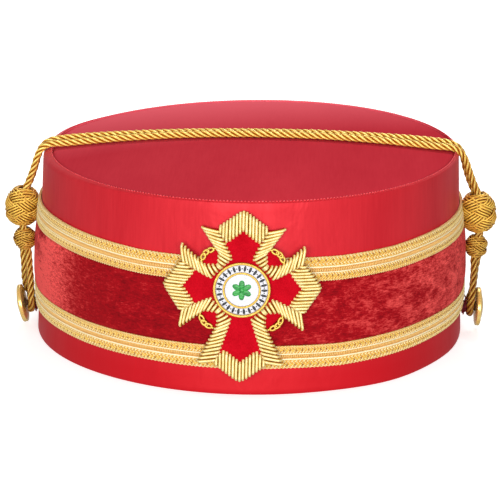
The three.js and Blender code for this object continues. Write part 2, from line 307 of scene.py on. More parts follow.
# lays the trims along the lines on which they were sewn, level again at the back
def asSewn(places):
    x, y, up = places.T
    lower = np.interp(x / mm, *zip(*sewnLine["lower"]))
    upper = np.interp(x / mm, *zip(*sewnLine["upper"]))
    share = np.clip((up - sewnLine["lowerUp"]) / sewnLine["gap"], 0, 1)
    ahead = np.clip(1 - (y - crown["middle"]) / sewnLine["level"], 0, 1)
    return np.stack([x, y, up + (lower + (upper - lower) * share) * ahead * mm], axis=1)


def nameAndFinish(piece, name, material, slotName, *nodes):
    piece.name = name
    piece.data.name = name
    setPlaces(piece, fuller(meshPlaces(piece)))
    if material:
        piece.data.materials.clear()
        piece.data.materials.append(material)
    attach(piece, "root")
    if nodes:
        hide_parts(*nodes)
    return piece


# Rings of (half width, half length, height) drawn one from the other, as a lathe would on an oval
def extrudeRings(rows, around, middle=(0, 0)):
    smallest = 0.01 * mm
    deselectAll()
    wide, long, height = rows[0]
    wide, long = max(wide, smallest), max(long, smallest)
    centre = (*middle, 0)
    bpy.ops.mesh.primitive_circle_add(vertices=around, radius=wide, location=centre)
    piece = bpy.context.active_object
    bpy.ops.object.transform_apply(location=True, rotation=False, scale=False)
    bpy.ops.object.mode_set(mode="EDIT")
    bpy.ops.mesh.select_all(action="SELECT")
    bpy.ops.transform.resize(value=(1, long / wide, 1), center_override=centre)
    bpy.ops.transform.translate(value=(0, 0, height))
    for newWide, newLong, newHeight in rows[1:]:
        newWide, newLong = max(newWide, smallest), max(newLong, smallest)
        bpy.ops.mesh.extrude_region_move()
        bpy.ops.transform.resize(value=(newWide / wide, newLong / long, 1), center_override=centre)
        bpy.ops.transform.translate(value=(0, 0, newHeight - height))
        wide, long, height = newWide, newLong, newHeight
    bpy.ops.mesh.select_all(action="SELECT")
    bpy.ops.mesh.remove_doubles(threshold=3 * smallest)
    bpy.ops.mesh.normals_make_consistent(inside=False)
    bpy.ops.object.mode_set(mode="OBJECT")
    bpy.ops.object.shade_smooth()
    return piece


# half the oval's width and length at a height
def ovalAt(up):
    lean = crown["lean"] * up / crown["height"]
    return crown["halfWidth"] - lean, crown["halfLength"] - lean


# an oval ring round the crown for each (height, distance out of its face), both in metres
def crownRings(section, around):
    rows = []
    for up, out in section:
        wide, long = ovalAt(up)
        rows.append((wide + out, long + out, up))
    return extrudeRings(rows, around, (0, crown["middle"]))


def onCrown(turn, up, out):
    wide, long = ovalAt(up)
    acrossNormal = np.sin(turn) / wide
    aheadNormal = np.cos(turn) / long
    size = np.hypot(acrossNormal, aheadNormal)
    x = wide * np.sin(turn) + out * acrossNormal / size
    y = crown["middle"] - long * np.cos(turn) - out * aheadNormal / size
    return np.stack([x, y, up + 0 * x], axis=-1)


# turns from the back, all the way round, that lie evenly along the oval
def evenTurns(count, up):
    dense = np.linspace(-math.pi, math.pi, 4001)
    steps = np.linalg.norm(np.diff(onCrown(dense, up, 0), axis=0), axis=1)
    length = np.concatenate([[0], steps.cumsum()])
    return np.interp(np.arange(count) / count * length[-1], length, dense)


def meshPlaces(piece):
    places = np.zeros(len(piece.data.vertices) * 3)
    piece.data.vertices.foreach_get("co", places)
    return places.reshape(-1, 3)


def setPlaces(piece, places):
    piece.data.vertices.foreach_set("co", places.ravel())
    piece.data.update()


def pieceFromArrays(places, faces, uvs, tints):
    mesh = bpy.data.meshes.new("piece")
    mesh.from_pydata(places.tolist(), [], faces)
    mesh.uv_layers.new(name="threadMap").data.foreach_set("uv", uvs.ravel())
    mesh.attributes.new("tint", "FLOAT", "POINT").data.foreach_set("value", tints)
    mesh.polygons.foreach_set("use_smooth", [True] * len(mesh.polygons))
    mesh.update()
    piece = bpy.data.objects.new("piece", mesh)
    bpy.context.scene.collection.objects.link(piece)
    return piece


def unit(vectors):
    return vectors / np.maximum(np.linalg.norm(vectors, axis=-1, keepdims=True), 1e-12)


def smoothStep(value, low, high):
    share = np.clip((value - low) / (high - low), 0, 1)
    return share * share * (3 - 2 * share)


# Round tubes along lines (count, stations, 3), with a normal and a radius at each station
def tubes(lines, normals, radii, sides, closed=False, tint=0.5):
    count, stations = lines.shape[:2]
    if closed:
        tangents = np.roll(lines, -1, axis=1) - np.roll(lines, 1, axis=1)
    else:
        tangents = np.gradient(lines, axis=1)
    tangents = unit(tangents)
    normals = unit(normals - (normals * tangents).sum(-1, keepdims=True) * tangents)
    across = np.cross(tangents, normals)
    turn = np.arange(sides) / sides * full
    ring = np.cos(turn)[:, None] * normals[:, :, None] + np.sin(turn)[:, None] * across[:, :, None]
    radii = np.broadcast_to(radii, (count, stations))
    places = lines[:, :, None] + radii[:, :, None, None] * ring
    index = np.arange(count * stations * sides).reshape(count, stations, sides)
    following = np.roll(index, -1, axis=1) if closed else index[:, 1:]
    start = index if closed else index[:, :-1]
    quads = np.stack(
        [start, np.roll(start, -1, axis=2), np.roll(following, -1, axis=2), following], axis=-1
    ).reshape(-1, 4)
    length = np.linalg.norm(np.diff(lines, axis=1), axis=-1).cumsum(axis=1)
    along = np.concatenate([np.zeros((count, 1)), length], axis=1) / mm
    if closed:
        step = np.linalg.norm(lines[:, 0] - lines[:, -1], axis=-1) / mm
        along = np.concatenate([along, along[:, -1:] + step[:, None]], axis=1)
    side = np.arange(sides + 1) / sides
    cells = along.shape[1] - 1
    corners = [(0, 0), (0, 1), (1, 1), (1, 0)]
    uvs = np.zeros((count, cells, sides, 4, 2))
    for corner, (ahead, turned) in enumerate(corners):
        uvs[..., corner, 0] = along[:, ahead:ahead + cells, None]
        uvs[..., corner, 1] = side[turned:turned + sides]
    faces = quads.tolist()
    uvs = uvs.reshape(-1, 2)
    if not closed:
        caps = [row[::-1].tolist() for row in index[:, 0]] + [row.tolist() for row in index[:, -1]]
        faces += caps
        uvs = np.concatenate([uvs, np.zeros((2 * count * sides, 2))])
    places = places.reshape(-1, 3)
    return places, faces, uvs, np.full(len(places), tint)


# joins tube sets that were made apart
def joinArrays(sets):
    before = 0
    faces = []
    for places, setFaces, _, _ in sets:
        faces += [[corner + before for corner in face] for face in setFaces]
        before += len(places)
    places, uvs, tints = (np.concatenate([row[k] for row in sets]) for k in (0, 2, 3))
    return places, faces, uvs, tints


def joinPieces(pieces):
    deselectAll()
    for piece in pieces:
        piece.select_set(True)
    bpy.context.view_layer.objects.active = pieces[0]
    bpy.ops.object.join()
    return pieces[0]


# Cord over the top: one loop, front strand out and back strand home

# half of the route, from the middle of the top to a button's shank: x, y, z, half spread (mm), turn (deg)
cordRoute = [
    (0, 0, 84.3, 1.55, 0),
    (30, -0.8, 83.85, 1.6, 0),
    (56, -2.8, 82.65, 1.85, 0),
    (71, -4.6, 81.65, 2.05, 0),
    (80, -5.8, 81, 2.15, 0),
    (85.2, -6.5, 80.8, 2.05, 0),
    (88.3, -6.8, 80.1, 1.9, 0),
    (90.6, -7, 78.3, 1.8, 0),
    (92.1, -7.1, 75.4, 1.7, 2),
    (93.7, -7.2, 70.6, 1.6, 4),
    (95.6, -7.2, 65.6, 1.55, 8),
    (98.2, -7.2, 59.6, 1.55, 8),
    (99.4, -7.2, 52.6, 1.55, 0),
    (99.6, -7.2, 45.4, 1.55, -4),
    (99.4, -7.2, 41.2, 1.55, -20),
    (98.5, -7.2, 32.6, 1.6, -52),
    (98.0, -7.8, 26.4, 1.95, -42),
    (97.6, -8.7, 20.5, 4, -26),
    (97.1, -9, 15.05, 5.9, -16),
    (96.6, -9, 12.9, 6.3, -10),
    (96.2, -9, 10.75, 5.9, -9),
    (96.2, -9, 8.7, 4.7, -9),
    (96.2, -9, 7.15, 2.55, -9),
    (96.2, -9, 6.6, 0.05, 0),
]
# how far the back strand rides up on the front one along the top, by x in mm
strandRise = [(0, 0.2), (30, 0.45), (56, 0.9), (71, 1.3), (80, 1.3), (86, 0.9), (90.6, 0.3), (92.5, 0)]
# the two sides differ a little: drawn inward by height and the loop lifted (mm),
# the share of the turn that is left in the loop, and degrees more of it above the knots
sideShift = {
    -1: dict(inward=[(13, 1.0), (40, 0.8), (60, 0.6), (75, 0)], lift=0.4, turn=1.0, above=0),
    1: dict(inward=[(13, 0.5), (40, 0.3), (60, 0.35), (75, 0)], lift=1.0, turn=0.3, above=17),
}
# heights in mm over which the lift, the loop's own turn and the turn above the knots come and go,
# and from which a strand lies on the top
cordHeights = dict(lift=(13, 26), loop=(28, 36), above=(50, 60, 72, 79), top=70)

cord = dict(
    diameter=3 * mm,
    plies=4,
    plyRadius=0.66 * mm,
    plyOffset=0.88 * mm,  # from the cord's middle to a ply's
    layLength=[(28, 13.5), (46, 12.2)],  # by height, in mm: its turns open out below the knots
    station=0.5 * mm,
    sides=8,
    # how bright the cord is left by painted shade, by height in mm: darkest at its low loops
    wearAndShade=[(8, 0.3), (30, 0.46), (44, 0.6), (66, 0.8), (77, 1.0)],
    shade=0.2,
    shadeFrom=86,  # x in mm
    shadeOver=6,
    filamentRise=0.03 * mm,
    # painted shade between two plies and on their sides, their faces, then a painted highlight along their
    # crests
    colours=[srgb(124, 58, 4), srgb(188, 108, 16), srgb(230, 172, 52), srgb(254, 228, 124)],
)


def strandPoints(side, hand):
    points = []
    shift = sideShift[side]
    for x, y, z, spread, turn in cordRoute:
        low = 1 - float(np.interp(z, cordHeights["lift"], (0, 1)))
        loop = 1 - float(np.interp(z, cordHeights["loop"], (0, 1)))
        above = shift["above"] * float(np.interp(z, cordHeights["above"], (0, 1, 1, 0)))
        angle = math.radians(turn * (1 - loop * (1 - shift["turn"])) + above)
        outward = x + hand * spread * math.sin(angle) - float(np.interp(z, *zip(*shift["inward"])))
        onTop = hand < 0 and z > cordHeights["top"]
        rise = float(np.interp(x, *zip(*strandRise))) if onTop else 0
        height = z + rise + shift["lift"] * low
        points.append((side * outward, y - hand * spread * math.cos(angle), height))
    return points


# a smooth line through the points, with knots spaced by the root of their distances
def smoothLine(points, each=24, loop=False):
    points = np.asarray(points, float)
    before = points[-2] if loop else 2 * points[0] - points[1]
    after = points[1] if loop else 2 * points[-1] - points[-2]
    points = np.concatenate([[before], points, [after]])
    gaps = np.sqrt(np.linalg.norm(np.diff(points, axis=0), axis=1))
    share = np.linspace(0, 1, each, endpoint=False)[:, None]
    line = []
    for i in range(1, len(points) - 2):
        p0, p1, p2, p3 = points[i - 1:i + 3]
        d0, d1, d2 = gaps[i - 1:i + 2]
        leave = ((p1 - p0) / d0 - (p2 - p0) / (d0 + d1) + (p2 - p1) / d1) * d1
        reach = ((p2 - p1) / d1 - (p3 - p1) / (d1 + d2) + (p3 - p2) / d2) * d1
        bendA = -3 * p1 + 3 * p2 - 2 * leave - reach
        bendB = 2 * p1 - 2 * p2 + leave + reach
        line.append(p1 + leave * share + bendA * share ** 2 + bendB * share ** 3)
    line.append(points[-2:-1])
    return np.concatenate(line)


def evenly(line, step):
    along = np.concatenate([[0], np.linalg.norm(np.diff(line, axis=0), axis=1).cumsum()])
    at = np.linspace(0, along[-1], max(2, round(along[-1] / step) + 1))
    return np.stack([np.interp(at, along, line[:, k]) for k in range(3)], axis=1)


# normals that follow a line without turning about it
def carriedNormals(line):
    tangents = unit(np.gradient(line, axis=0))
    normal = np.cross(tangents[0], (0.0, 0.0, 1.0))
    if np.linalg.norm(normal) < 0.1:
        normal = np.cross(tangents[0], (0.0, 1.0, 0.0))
    normals = [normal]
    for tangent in tangents[1:]:
        normal = normal - normal.dot(tangent) * tangent
        normal = normal / np.linalg.norm(normal)
        normals.append(normal)
    return unit(np.array(normals)), tangents


def cordLine():
    upward = [list(reversed(strandPoints(side, hand))) for side, hand in ((-1, 1), (1, -1))]
    downward = [strandPoints(side, hand)[1:] for side, hand in ((1, 1), (-1, -1))]
    points = upward[0] + downward[0] + upward[1][1:] + downward[1]
    line = smoothLine(points, loop=True) * mm
    return evenly(line + (0, crown["middle"], 0), cord["station"])


def makeCord(material):
    line = cordLine()
    normals, tangents = carriedNormals(line)
    sideways = np.cross(tangents, normals)
    lay = np.interp(line[:, 2] / mm, *zip(*cord["layLength"])) * mm
    twist = np.cumsum(cord["station"] / lay) * full
    lines, outward = [], []
    for ply in range(cord["plies"]):
        turn = twist + ply / cord["plies"] * full
        out = np.cos(turn)[:, None] * normals + np.sin(turn)[:, None] * sideways
        lines.append(line + cord["plyOffset"] * out)
        outward.append(out)
    plies = tubes(np.array(lines), np.array(outward), cord["plyRadius"], cord["sides"])
    # painted shade: the cord's gold is darkened by height
    wearAndShade = np.interp(plies[0][:, 2] / mm, *zip(*cord["wearAndShade"]))
    # painted shade: the right side is darkened, as it hangs in the shade
    aside = np.clip(plies[0][:, 0] / mm - cord["shadeFrom"], 0, cord["shadeOver"])
    wearAndShade = wearAndShade - cord["shade"] * aside / cord["shadeOver"]
    piece = pieceFromArrays(*plies[:3], wearAndShade)
    nameAndFinish(piece, "twistedCord", material, "gold_cord", "cap_cord")
    line = fuller(line)
    length = np.linalg.norm(np.diff(line, axis=0), axis=1).sum()
    print("cord length in metres", round(float(length), 4))
    return piece, line, float(length)


# Turk's head knots that slide on the cord

knot = dict(
    y=-7.2 * mm,
    sides=8,
    strand=0.47,  # radius of a pass, as a share of its width
    collarStrand=0.5,
    collars=[(0.4, 0.75), (0.54, 1.1)],  # shares of the knot's radius and of a pass's width below its end
    collarStations=48,
    # painted shade between the passes and on their sides, their faces, then a painted highlight along
    # their crests
    colours=[srgb(66, 27, 2), srgb(158, 80, 8), srgb(206, 136, 24), srgb(255, 212, 92)],
    # the core's browns are painted shade inside the weave
    core=[srgb(150, 88, 14), srgb(188, 120, 30)],
)
# the value after the roll darkens a knot's gold as painted shade, the small knot the most
knotKinds = [
    dict(
        name="knot_large", radius=7.45 * mm, height=15.8 * mm, x=99.6 * mm, z=52.6 * mm, lean=6,
        leads=5, bights=4, passes=5, wire=1.02 * mm, weave=0.55 * mm, stations=420, roll=0.35, wearAndShade=1.0,
    ),
    dict(
        name="knot_small", radius=4.85 * mm, height=9.2 * mm, x=98.9 * mm, z=36.9 * mm, lean=-7,
        leads=4, bights=3, passes=4, wire=0.84 * mm, weave=0.46 * mm, stations=300, roll=0.9, wearAndShade=0.66,
    ),
]
# how the knots of each side differ: scale, then inward and up in mm
knotShift = {
    "knot_large_left": (1.06, 0.8, 0.3), "knot_small_left": (1.06, 0.9, 1.4),
    "knot_large_right": (1.08, 1.05, -0.5), "knot_small_right": (1.06, 0.9, 0.1),
}


# distance from the knot's axis at a height, rounded over at both ends
def knotProfile(kind, up, half):
    waist = kind["radius"] - kind["wire"] / 2 - kind["weave"]
    shoulder = 0.3 * waist
    share = np.clip(np.abs(up) / half, 0, 1)
    return shoulder + (waist - shoulder) * np.sqrt(1 - share ** 2.3)


# one pass of the weave: round the barrel and up and down it, over and under itself in turn
def knotPoint(kind, phase, aside):
    spread = (kind["passes"] - 1) / 2 * kind["wire"]
    half = kind["height"] / 2 - kind["wire"] / 2
    swing = half - spread
    leads, bights = kind["leads"], kind["bights"]
    rise = bights * phase
    up = swing * np.cos(rise)
    slopeUp = -swing * bights * np.sin(rise)
    radius = knotProfile(kind, up, half * 1.04)
    slopeRound = leads * radius
    size = np.hypot(slopeUp, slopeRound)
    # the passes lie side by side, square to the way they run
    turnAside = -aside * slopeUp / size / radius
    up = up + aside * slopeRound / size
    wave = np.arccos(np.clip(up / swing, -1, 1))
    folded = np.mod(rise, full)
    riseAside = np.where(folded < math.pi, wave - folded, full - wave - folded)
    calm = np.clip(np.abs(np.sin(rise)) / math.sin(0.9 * math.pi / leads), 0, 1)
    calm = calm * calm * (3 - 2 * calm)
    crossing = leads * rise + (leads * riseAside + bights * turnAside) / 2
    lift = kind["weave"] * np.cos(crossing) * np.sign(np.sin(rise)) * calm
    radius = knotProfile(kind, up, half * 1.04) + lift
    turn = leads * phase + turnAside + kind["roll"]
    outward = np.stack([np.cos(turn), np.sin(turn), 0.9 * up / half], axis=-1)
    return np.stack([radius * np.cos(turn), radius * np.sin(turn), up], axis=-1), unit(outward)


def makeKnot(kind, side, material, coreMaterial):
    phase = np.arange(kind["stations"]) / kind["stations"] * full
    middle = (kind["passes"] - 1) / 2
    lines, outward = [], []
    for run in range(kind["passes"]):
        line, out = knotPoint(kind, phase, (run - middle) * kind["wire"])
        lines.append(line)
        outward.append(out)
    radius = kind["wire"] * knot["strand"]
    weave = tubes(np.array(lines), np.array(outward), radius, knot["sides"], True, kind["wearAndShade"])
    piece = pieceFromArrays(*joinArrays([weave, knotCollars(kind)]))
    piece.data.materials.append(material)
    core = knotCore(kind)
    core.data.materials.append(coreMaterial)
    joinPieces([piece, core])
    # leans with its top to the crown, as the pull of the cord has it
    sideName = "right" if side > 0 else "left"
    node = f"{kind['name']}_{sideName}"
    scale, inward, lift = knotShift[node]
    turned = Matrix.Rotation(-side * math.radians(kind["lean"]), 4, "Y")
    place = (side * (kind["x"] - inward * mm), knot["y"] + crown["middle"], kind["z"] + lift * mm)
    piece.data.transform(Matrix.Translation(place) @ turned @ Matrix.Scale(scale, 4))
    name = ("wovenKnotLarge" if "large" in node else "wovenKnotSmall") + sideName.capitalize()
    return nameAndFinish(piece, name, None, "gold_cord", node)


# small turns of the same cord that close the weave round the strands at both ends
def knotCollars(kind):
    turn = np.arange(knot["collarStations"]) / knot["collarStations"] * full
    lines = []
    for end in (-1, 1):
        for reach, drop in knot["collars"]:
            reach = reach * kind["radius"]
            up = 0 * turn + end * (kind["height"] / 2 - drop * kind["wire"])
            lines.append(np.stack([reach * np.cos(turn), reach * np.sin(turn), up], axis=1))
    lines = np.array(lines)
    outward = unit(lines * (0.5, 0.5, 1))
    return tubes(lines, outward, kind["wire"] * knot["collarStrand"], knot["sides"], True, kind["wearAndShade"])


def knotCore(kind):
    half = kind["height"] / 2 - kind["wire"]
    rows = []
    for share in (-1, -0.8, -0.5, 0, 0.5, 0.8, 1):
        up = share * half
        radius = float(knotProfile(kind, up, half * 1.1)) - kind["weave"] - 0.25 * kind["wire"]
        rows.append((radius, radius, up))
    return extrudeRings([(0, 0, -half), *rows, (0, 0, half)], 24)


# how far a tube's skin faces out of the work, from 0 underneath to 1 on its crest, and the way along it
def crestAndAlong(tree):
    uv = put(tree, "ShaderNodeUVMap", uv_map="threadMap").outputs["UV"]
    parts = put(tree, "ShaderNodeSeparateXYZ", {"Vector": uv})
    around = calc(tree, "COSINE", calc(tree, "MULTIPLY", parts.outputs["Y"], full))
    return calc(tree, "MULTIPLY_ADD", around, 0.5, 0.5), parts.outputs["X"], parts.outputs["Y"]


def cordMaterial(name, colours, *stops):
    material, tree, surface = newMaterial(name, Roughness=0.32, Metallic=0.3)
    crest, along, around = crestAndAlong(tree)
    # fine filaments run along each ply with a slight turn
    slant = calc(tree, "MULTIPLY_ADD", along, 0.3, around)
    filament = calc(tree, "SINE", calc(tree, "MULTIPLY", slant, full * 8))
    stray = noise(tree, objectPlace(tree), scale=500, detail=2)
    # the crest share paints shade under and between the strands and a highlight along their crests
    tone = calc(tree, "MULTIPLY_ADD", filament, 0.035, crest)
    tone = calc(tree, "MULTIPLY_ADD", calc(tree, "SUBTRACT", stray, 0.5), 0.22, tone)
    # painted shade: the tint attribute darkens the gold by height, on the cord's right side and on the
    # small knot
    paintedShadeShare = put(tree, "ShaderNodeAttribute", attribute_name="tint").outputs["Fac"]
    paintedShadeColour = ramp(tree, paintedShadeShare, (0, (0.4, 0.26, 0.1, 1)), (1, grey(1)))
    gold = blend(tree, 1.0, ramp(tree, tone, *zip(stops, colours)), paintedShadeColour, "MULTIPLY")
    tree.links.new(gold, surface.inputs["Base Color"])
    bump(tree, surface, filament, cord["filamentRise"])
    return material


# the inside of a knot, which shows only between its passes, and the shaded shank of a button: both dark
# brown as painted shade
def shadedMaterial(name, deep, light):
    material, tree, surface = newMaterial(name, Roughness=0.8)
    grain = noise(tree, objectPlace(tree), scale=700, detail=2)
    tree.links.new(ramp(tree, grain, (0.35, deep), (0.65, light)), surface.inputs["Base Color"])
    return material


# Crown: stiff satin wall, folded at the hem and turned in at the shoulder

satinWall = dict(
    around=420,
    thickness=2.4 * mm,
    hemEase=0.5 * mm,
    hemRound=0.15 * mm,
    shoulder=3 * mm,
    rowSpacing=1.8 * mm,
    shine=0.35,
    gloss=0.2,
    rough=0.5,
    edgeSheen=0.2,
    # shares of painted sheen towards the back and on the ledge
    paintedSheenBack=0,
    paintedSheenLedge=1.0,
    grain=(1500, 1500, 45),
    streak=(70, 70, 15),
    ripple=0.16 * mm,
    pucker=0.7 * mm,
    edge=srgb(255, 200, 200),
    deep=srgb(197, 29, 41),
    bright=srgb(213, 41, 51),
    # hem: painted shade, a deeper red
    hem=srgb(196, 12, 26),
)

# the ledge and its rolled edge along the tip's seam: height over the top, distance in from the face (mm)
ledge = [(-0.14, 2.05), (0.06, 2.6), (0.22, 3.15), (0.33, 3.55), (0.34, 3.8), (0.14, 4.06), (-0.6, 4.2)]
# how wide it is round the crown: degrees from the front to the right, share of its full width
ledgeWidth = [
    (-180, 0.9), (-130, 1.0), (-90, 1.0), (-60, 0.75), (-37, 0.42), (-15, 0.2),
    (0, 0.18), (37, 0.2), (70, 0.3), (95, 0.42), (130, 0.8), (180, 0.9),
]


# at each place: the share of the ledge's width, the distance in from the face and the way in to the middle
def acrossLedge(places):
    wide, long = ovalAt(places[:, 2])
    inward = np.stack([-places[:, 0], crown["middle"] - places[:, 1]], axis=1)
    size = np.hypot(inward[:, 0] / wide, inward[:, 1] / long)
    length = np.maximum(np.hypot(*inward.T), 1e-9)
    turn = np.arctan2(-inward[:, 0] / crown["halfWidth"], inward[:, 1] / crown["halfLength"])
    share = np.interp(np.degrees(turn), *zip(*ledgeWidth))
    return share, length / np.maximum(size, 1e-9) - length, inward / length[:, None]


# draws the shoulder and the ledge out to the face where the ledge is narrow
def narrowLedge(places):
    share, depth, inward = acrossLedge(places)
    fromTop = places[:, 2] - crown["height"]
    slack = 0.05 * mm
    share = np.where(fromTop > -satinWall["shoulder"] - slack, share, 1)
    moved = places.copy()
    moved[:, :2] -= inward * (depth * (1 - share))[:, None]
    moved[:, 2] -= np.where(fromTop < 0, fromTop, fromTop / 2) * (1 - share)
    return moved


# lets the top panel out to the narrowed ledge
def followLedge(places):
    share, depth, inward = acrossLedge(places)
    reach = np.clip(1 - (depth - satinTip["ledge"]) / satinTip["ease"], 0, 1)
    moved = places.copy()
    moved[:, :2] -= inward * (satinTip["ledge"] * (1 - share) * reach)[:, None]
    return moved


def makeWall(material):
    thick, ease, shoulder = satinWall["thickness"], satinWall["hemEase"], satinWall["shoulder"]
    top = crown["height"]
    turned = satinWall["hemRound"]
    section = [(0, ease - thick), (0, -ease), (turned, -turned), (ease, 0)]
    straight = np.arange(ease + satinWall["rowSpacing"], top - shoulder, satinWall["rowSpacing"])
    section += [(float(up), 0) for up in straight]
    for degrees in range(0, 61, 10):
        angle = math.radians(degrees)
        section.append((top - shoulder * (1 - math.sin(angle)), shoulder * (math.cos(angle) - 1)))
    section += [(top + up * mm, -inward * mm) for up, inward in ledge]
    section += [
        (top - thick, -ledge[-1][1] * mm),
        (top - shoulder - ease, -thick),
        (top / 2, -thick),
        (ease, -thick),
        (0, ease - thick),
    ]
    piece = crownRings(section, satinWall["around"])
    setPlaces(piece, narrowLedge(meshPlaces(piece)))
    return nameAndFinish(piece, "satinWall", material, "satin", "crown_wall")


# what the wall and the tip share: painted sheen at the back and on the ledge, painted shade deeper at the
# hem
satinTone = dict(
    # the paler colours paint sheen at the back and on the ledge
    paintedSheenColour=srgb(251, 116, 128),
    paintedLedgeColour=srgb(255, 104, 122),
    ledgeUp=(75.5, 78),  # mm
    ledgeBack=(0.01, 0.04),  # y in metres
    hemUp=(6, 26),  # mm
    hemShare=0.9,
    sheen=srgb(255, 160, 172),
    vary=0.04,  # of the roughness
    threadRise=0.02 * mm,
)


def satinMaterial(name, cloth):
    material, tree, surface = newMaterial(
        name, Metallic=cloth["gloss"], Specular_IOR_Level=cloth["shine"], Specular_Tint=cloth["edge"],
        Sheen_Weight=cloth["edgeSheen"], Sheen_Roughness=0.2, Sheen_Tint=satinTone["sheen"],
    )
    place = objectPlace(tree)
    thread = noise(tree, stretched(tree, place, cloth["grain"]), detail=2, roughness=0.6)
    soft = noise(tree, stretched(tree, place, cloth["streak"]), detail=4, roughness=0.6)
    tone = calc(tree, "MULTIPLY_ADD", thread, 0.3, calc(tree, "MULTIPLY", soft, 0.7))
    colour = ramp(tree, tone, (0.34, cloth["deep"]), (0.66, cloth["bright"]))
    # painted sheen: paler towards the back and the left
    parts = put(tree, "ShaderNodeSeparateXYZ", {"Vector": place})
    toLeft = calc(tree, "MULTIPLY_ADD", parts.outputs["X"], -0.4, parts.outputs["Y"])
    share = rescale(tree, toLeft, 0, crown["halfLength"], 0, cloth["paintedSheenBack"])
    colour = blend(tree, share, colour, satinTone["paintedSheenColour"])
    turn, up = aroundAndUp(tree)
    # painted shade: deeper towards the hem
    low = rescale(tree, up, *satinTone["hemUp"], satinTone["hemShare"], 0)
    colour = blend(tree, low, colour, cloth["hem"])
    # painted sheen on the ledge towards the back
    onLedge = rescale(tree, up, *satinTone["ledgeUp"], 0, 1)
    atBack = rescale(tree, parts.outputs["Y"], *satinTone["ledgeBack"], 0, 1)
    share = calc(tree, "MULTIPLY", calc(tree, "MULTIPLY", onLedge, atBack), cloth["paintedSheenLedge"])
    colour = blend(tree, share, colour, satinTone["paintedLedgeColour"])
    tree.links.new(colour, surface.inputs["Base Color"])
    vary = satinTone["vary"]
    smooth = rescale(tree, soft, 0.3, 0.7, cloth["rough"] + vary, cloth["rough"] - vary)
    tree.links.new(smooth, surface.inputs["Roughness"])
    bump(tree, surface, thread, satinTone["threadRise"])
    bump(tree, surface, soft, cloth["ripple"])
    # the cloth puckers a little round the embroidery
    beside = rescale(tree, calc(tree, "ABSOLUTE", turn), 0.04, 0.13, 1, 0)
    pucker = noise(tree, stretched(tree, place, (70, 70, 38)), detail=3, roughness=0.6, distortion=0.6)
    bump(tree, surface, calc(tree, "MULTIPLY", pucker, beside), cloth["pucker"])
    return material


# Top panel, slightly domed and sewn inside the ledge

satinTip = dict(
    around=420,
    rings=20,
    rise=4 * mm,
    thickness=2 * mm,
    ledge=4.1 * mm,
    ease=30 * mm,  # how far in it is let out to a narrow ledge
    # its edge, which dips into the seam: share of its size, drop in mm
    seam=[(1, 1.8), (1, 1.2), (0.996, 0.6), (0.991, 0.25), (0.984, 0.06)],
    shine=0,
    gloss=0.1,
    rough=0.5,
    edgeSheen=0,
    # painted sheen towards the back of the top
    paintedSheenBack=0.75,
    paintedSheenLedge=0,
    grain=(1500, 45, 1500),
    streak=(40, 12, 40),
    ripple=0.15 * mm,
    pucker=0.1 * mm,
    edge=srgb(255, 84, 100),
    deep=srgb(190, 50, 62),
    bright=srgb(200, 58, 69),
    hem=srgb(200, 58, 69),
)


def makeTip(material):
    wide, long = (size - satinTip["ledge"] for size in ovalAt(crown["height"]))

    def row(share, drop):
        return wide * share, long * share, crown["height"] + satinTip["rise"] * (1 - share ** 2) - drop
    rows = [row(share, satinTip["thickness"]) for share in np.linspace(0, 0.985, 6)]
    rows += [row(share, drop * mm) for share, drop in satinTip["seam"]]
    rows += [row(share, 0) for share in np.linspace(0.975, 0, satinTip["rings"])]
    piece = extrudeRings(rows, satinTip["around"], (0, crown["middle"]))
    setPlaces(piece, followLedge(meshPlaces(piece)))
    return nameAndFinish(piece, "satinTip", material, "satin", "crown_tip")


# Stitches that hold the tip inside the ledge

seamStitches = dict(
    count=420,
    inward=3.78 * mm,
    rise=0.45 * mm,
    long=0.9 * mm,
    radius=0.27 * mm,
    inset=8 * mm,  # how much shorter the seam's oval is than the crown's, front and back
    colours=[srgb(206, 40, 50), srgb(240, 66, 76)],
)


def makeSeam(material):
    turn = evenTurns(seamStitches["count"], crown["height"])
    half = seamStitches["long"] / 2 / (crown["halfLength"] - seamStitches["inset"])
    turns = turn[:, None] + np.linspace(-half, half, 4)
    lines = onCrown(turns, crown["height"], -seamStitches["inward"])
    lines[..., 2] += seamStitches["rise"] * np.array([0.2, 1, 1, 0.2])
    upward = np.broadcast_to((0.0, 0.0, 1.0), lines.shape)
    lines = narrowLedge(lines.reshape(-1, 3)).reshape(lines.shape)
    piece = pieceFromArrays(*tubes(lines, upward, seamStitches["radius"], 5))
    return nameAndFinish(piece, "seamStitches", material, "satin")


# Velvet band, a little padded, between the braids

velvet = dict(
    around=440,
    low=20.7 * mm,
    high=46.6 * mm,
    back=0.3 * mm,
    edgeRise=1.7 * mm,
    middleRise=2.6 * mm,
    rows=26,
    deep=srgb(112, 3, 12),
    body=srgb(158, 8, 20),
    bright=srgb(252, 92, 88),
    # how the pile lies round the band, paler at the sides with painted sheen: share of a turn from the
    # front, how far it shows its pale side
    lay=[
        (-0.5, 0.4), (-0.4, 0.25), (-0.28, 0.8), (-0.19, 1.0), (-0.155, 0.62), (-0.135, 0.3), (-0.1, 0.2),
        (0.0, 0.2), (0.06, 0.27), (0.13, 0.42), (0.2, 0.64), (0.3, 0.3), (0.4, 0.5), (0.5, 0.4),
    ],
    # painted shade over the top of the band at its left end: shares of a turn, heights in mm, how much
    paintedTopShadeLeft=(-0.3, -0.26),
    paintedTopShadeRight=(-0.17, -0.2),
    paintedTopShadeUp=(36, 45),
    paintedTopShade=0.5,
    uneven=8,  # mm, along the shaded patch's lower edge
    pileRise=0.2 * mm,
)


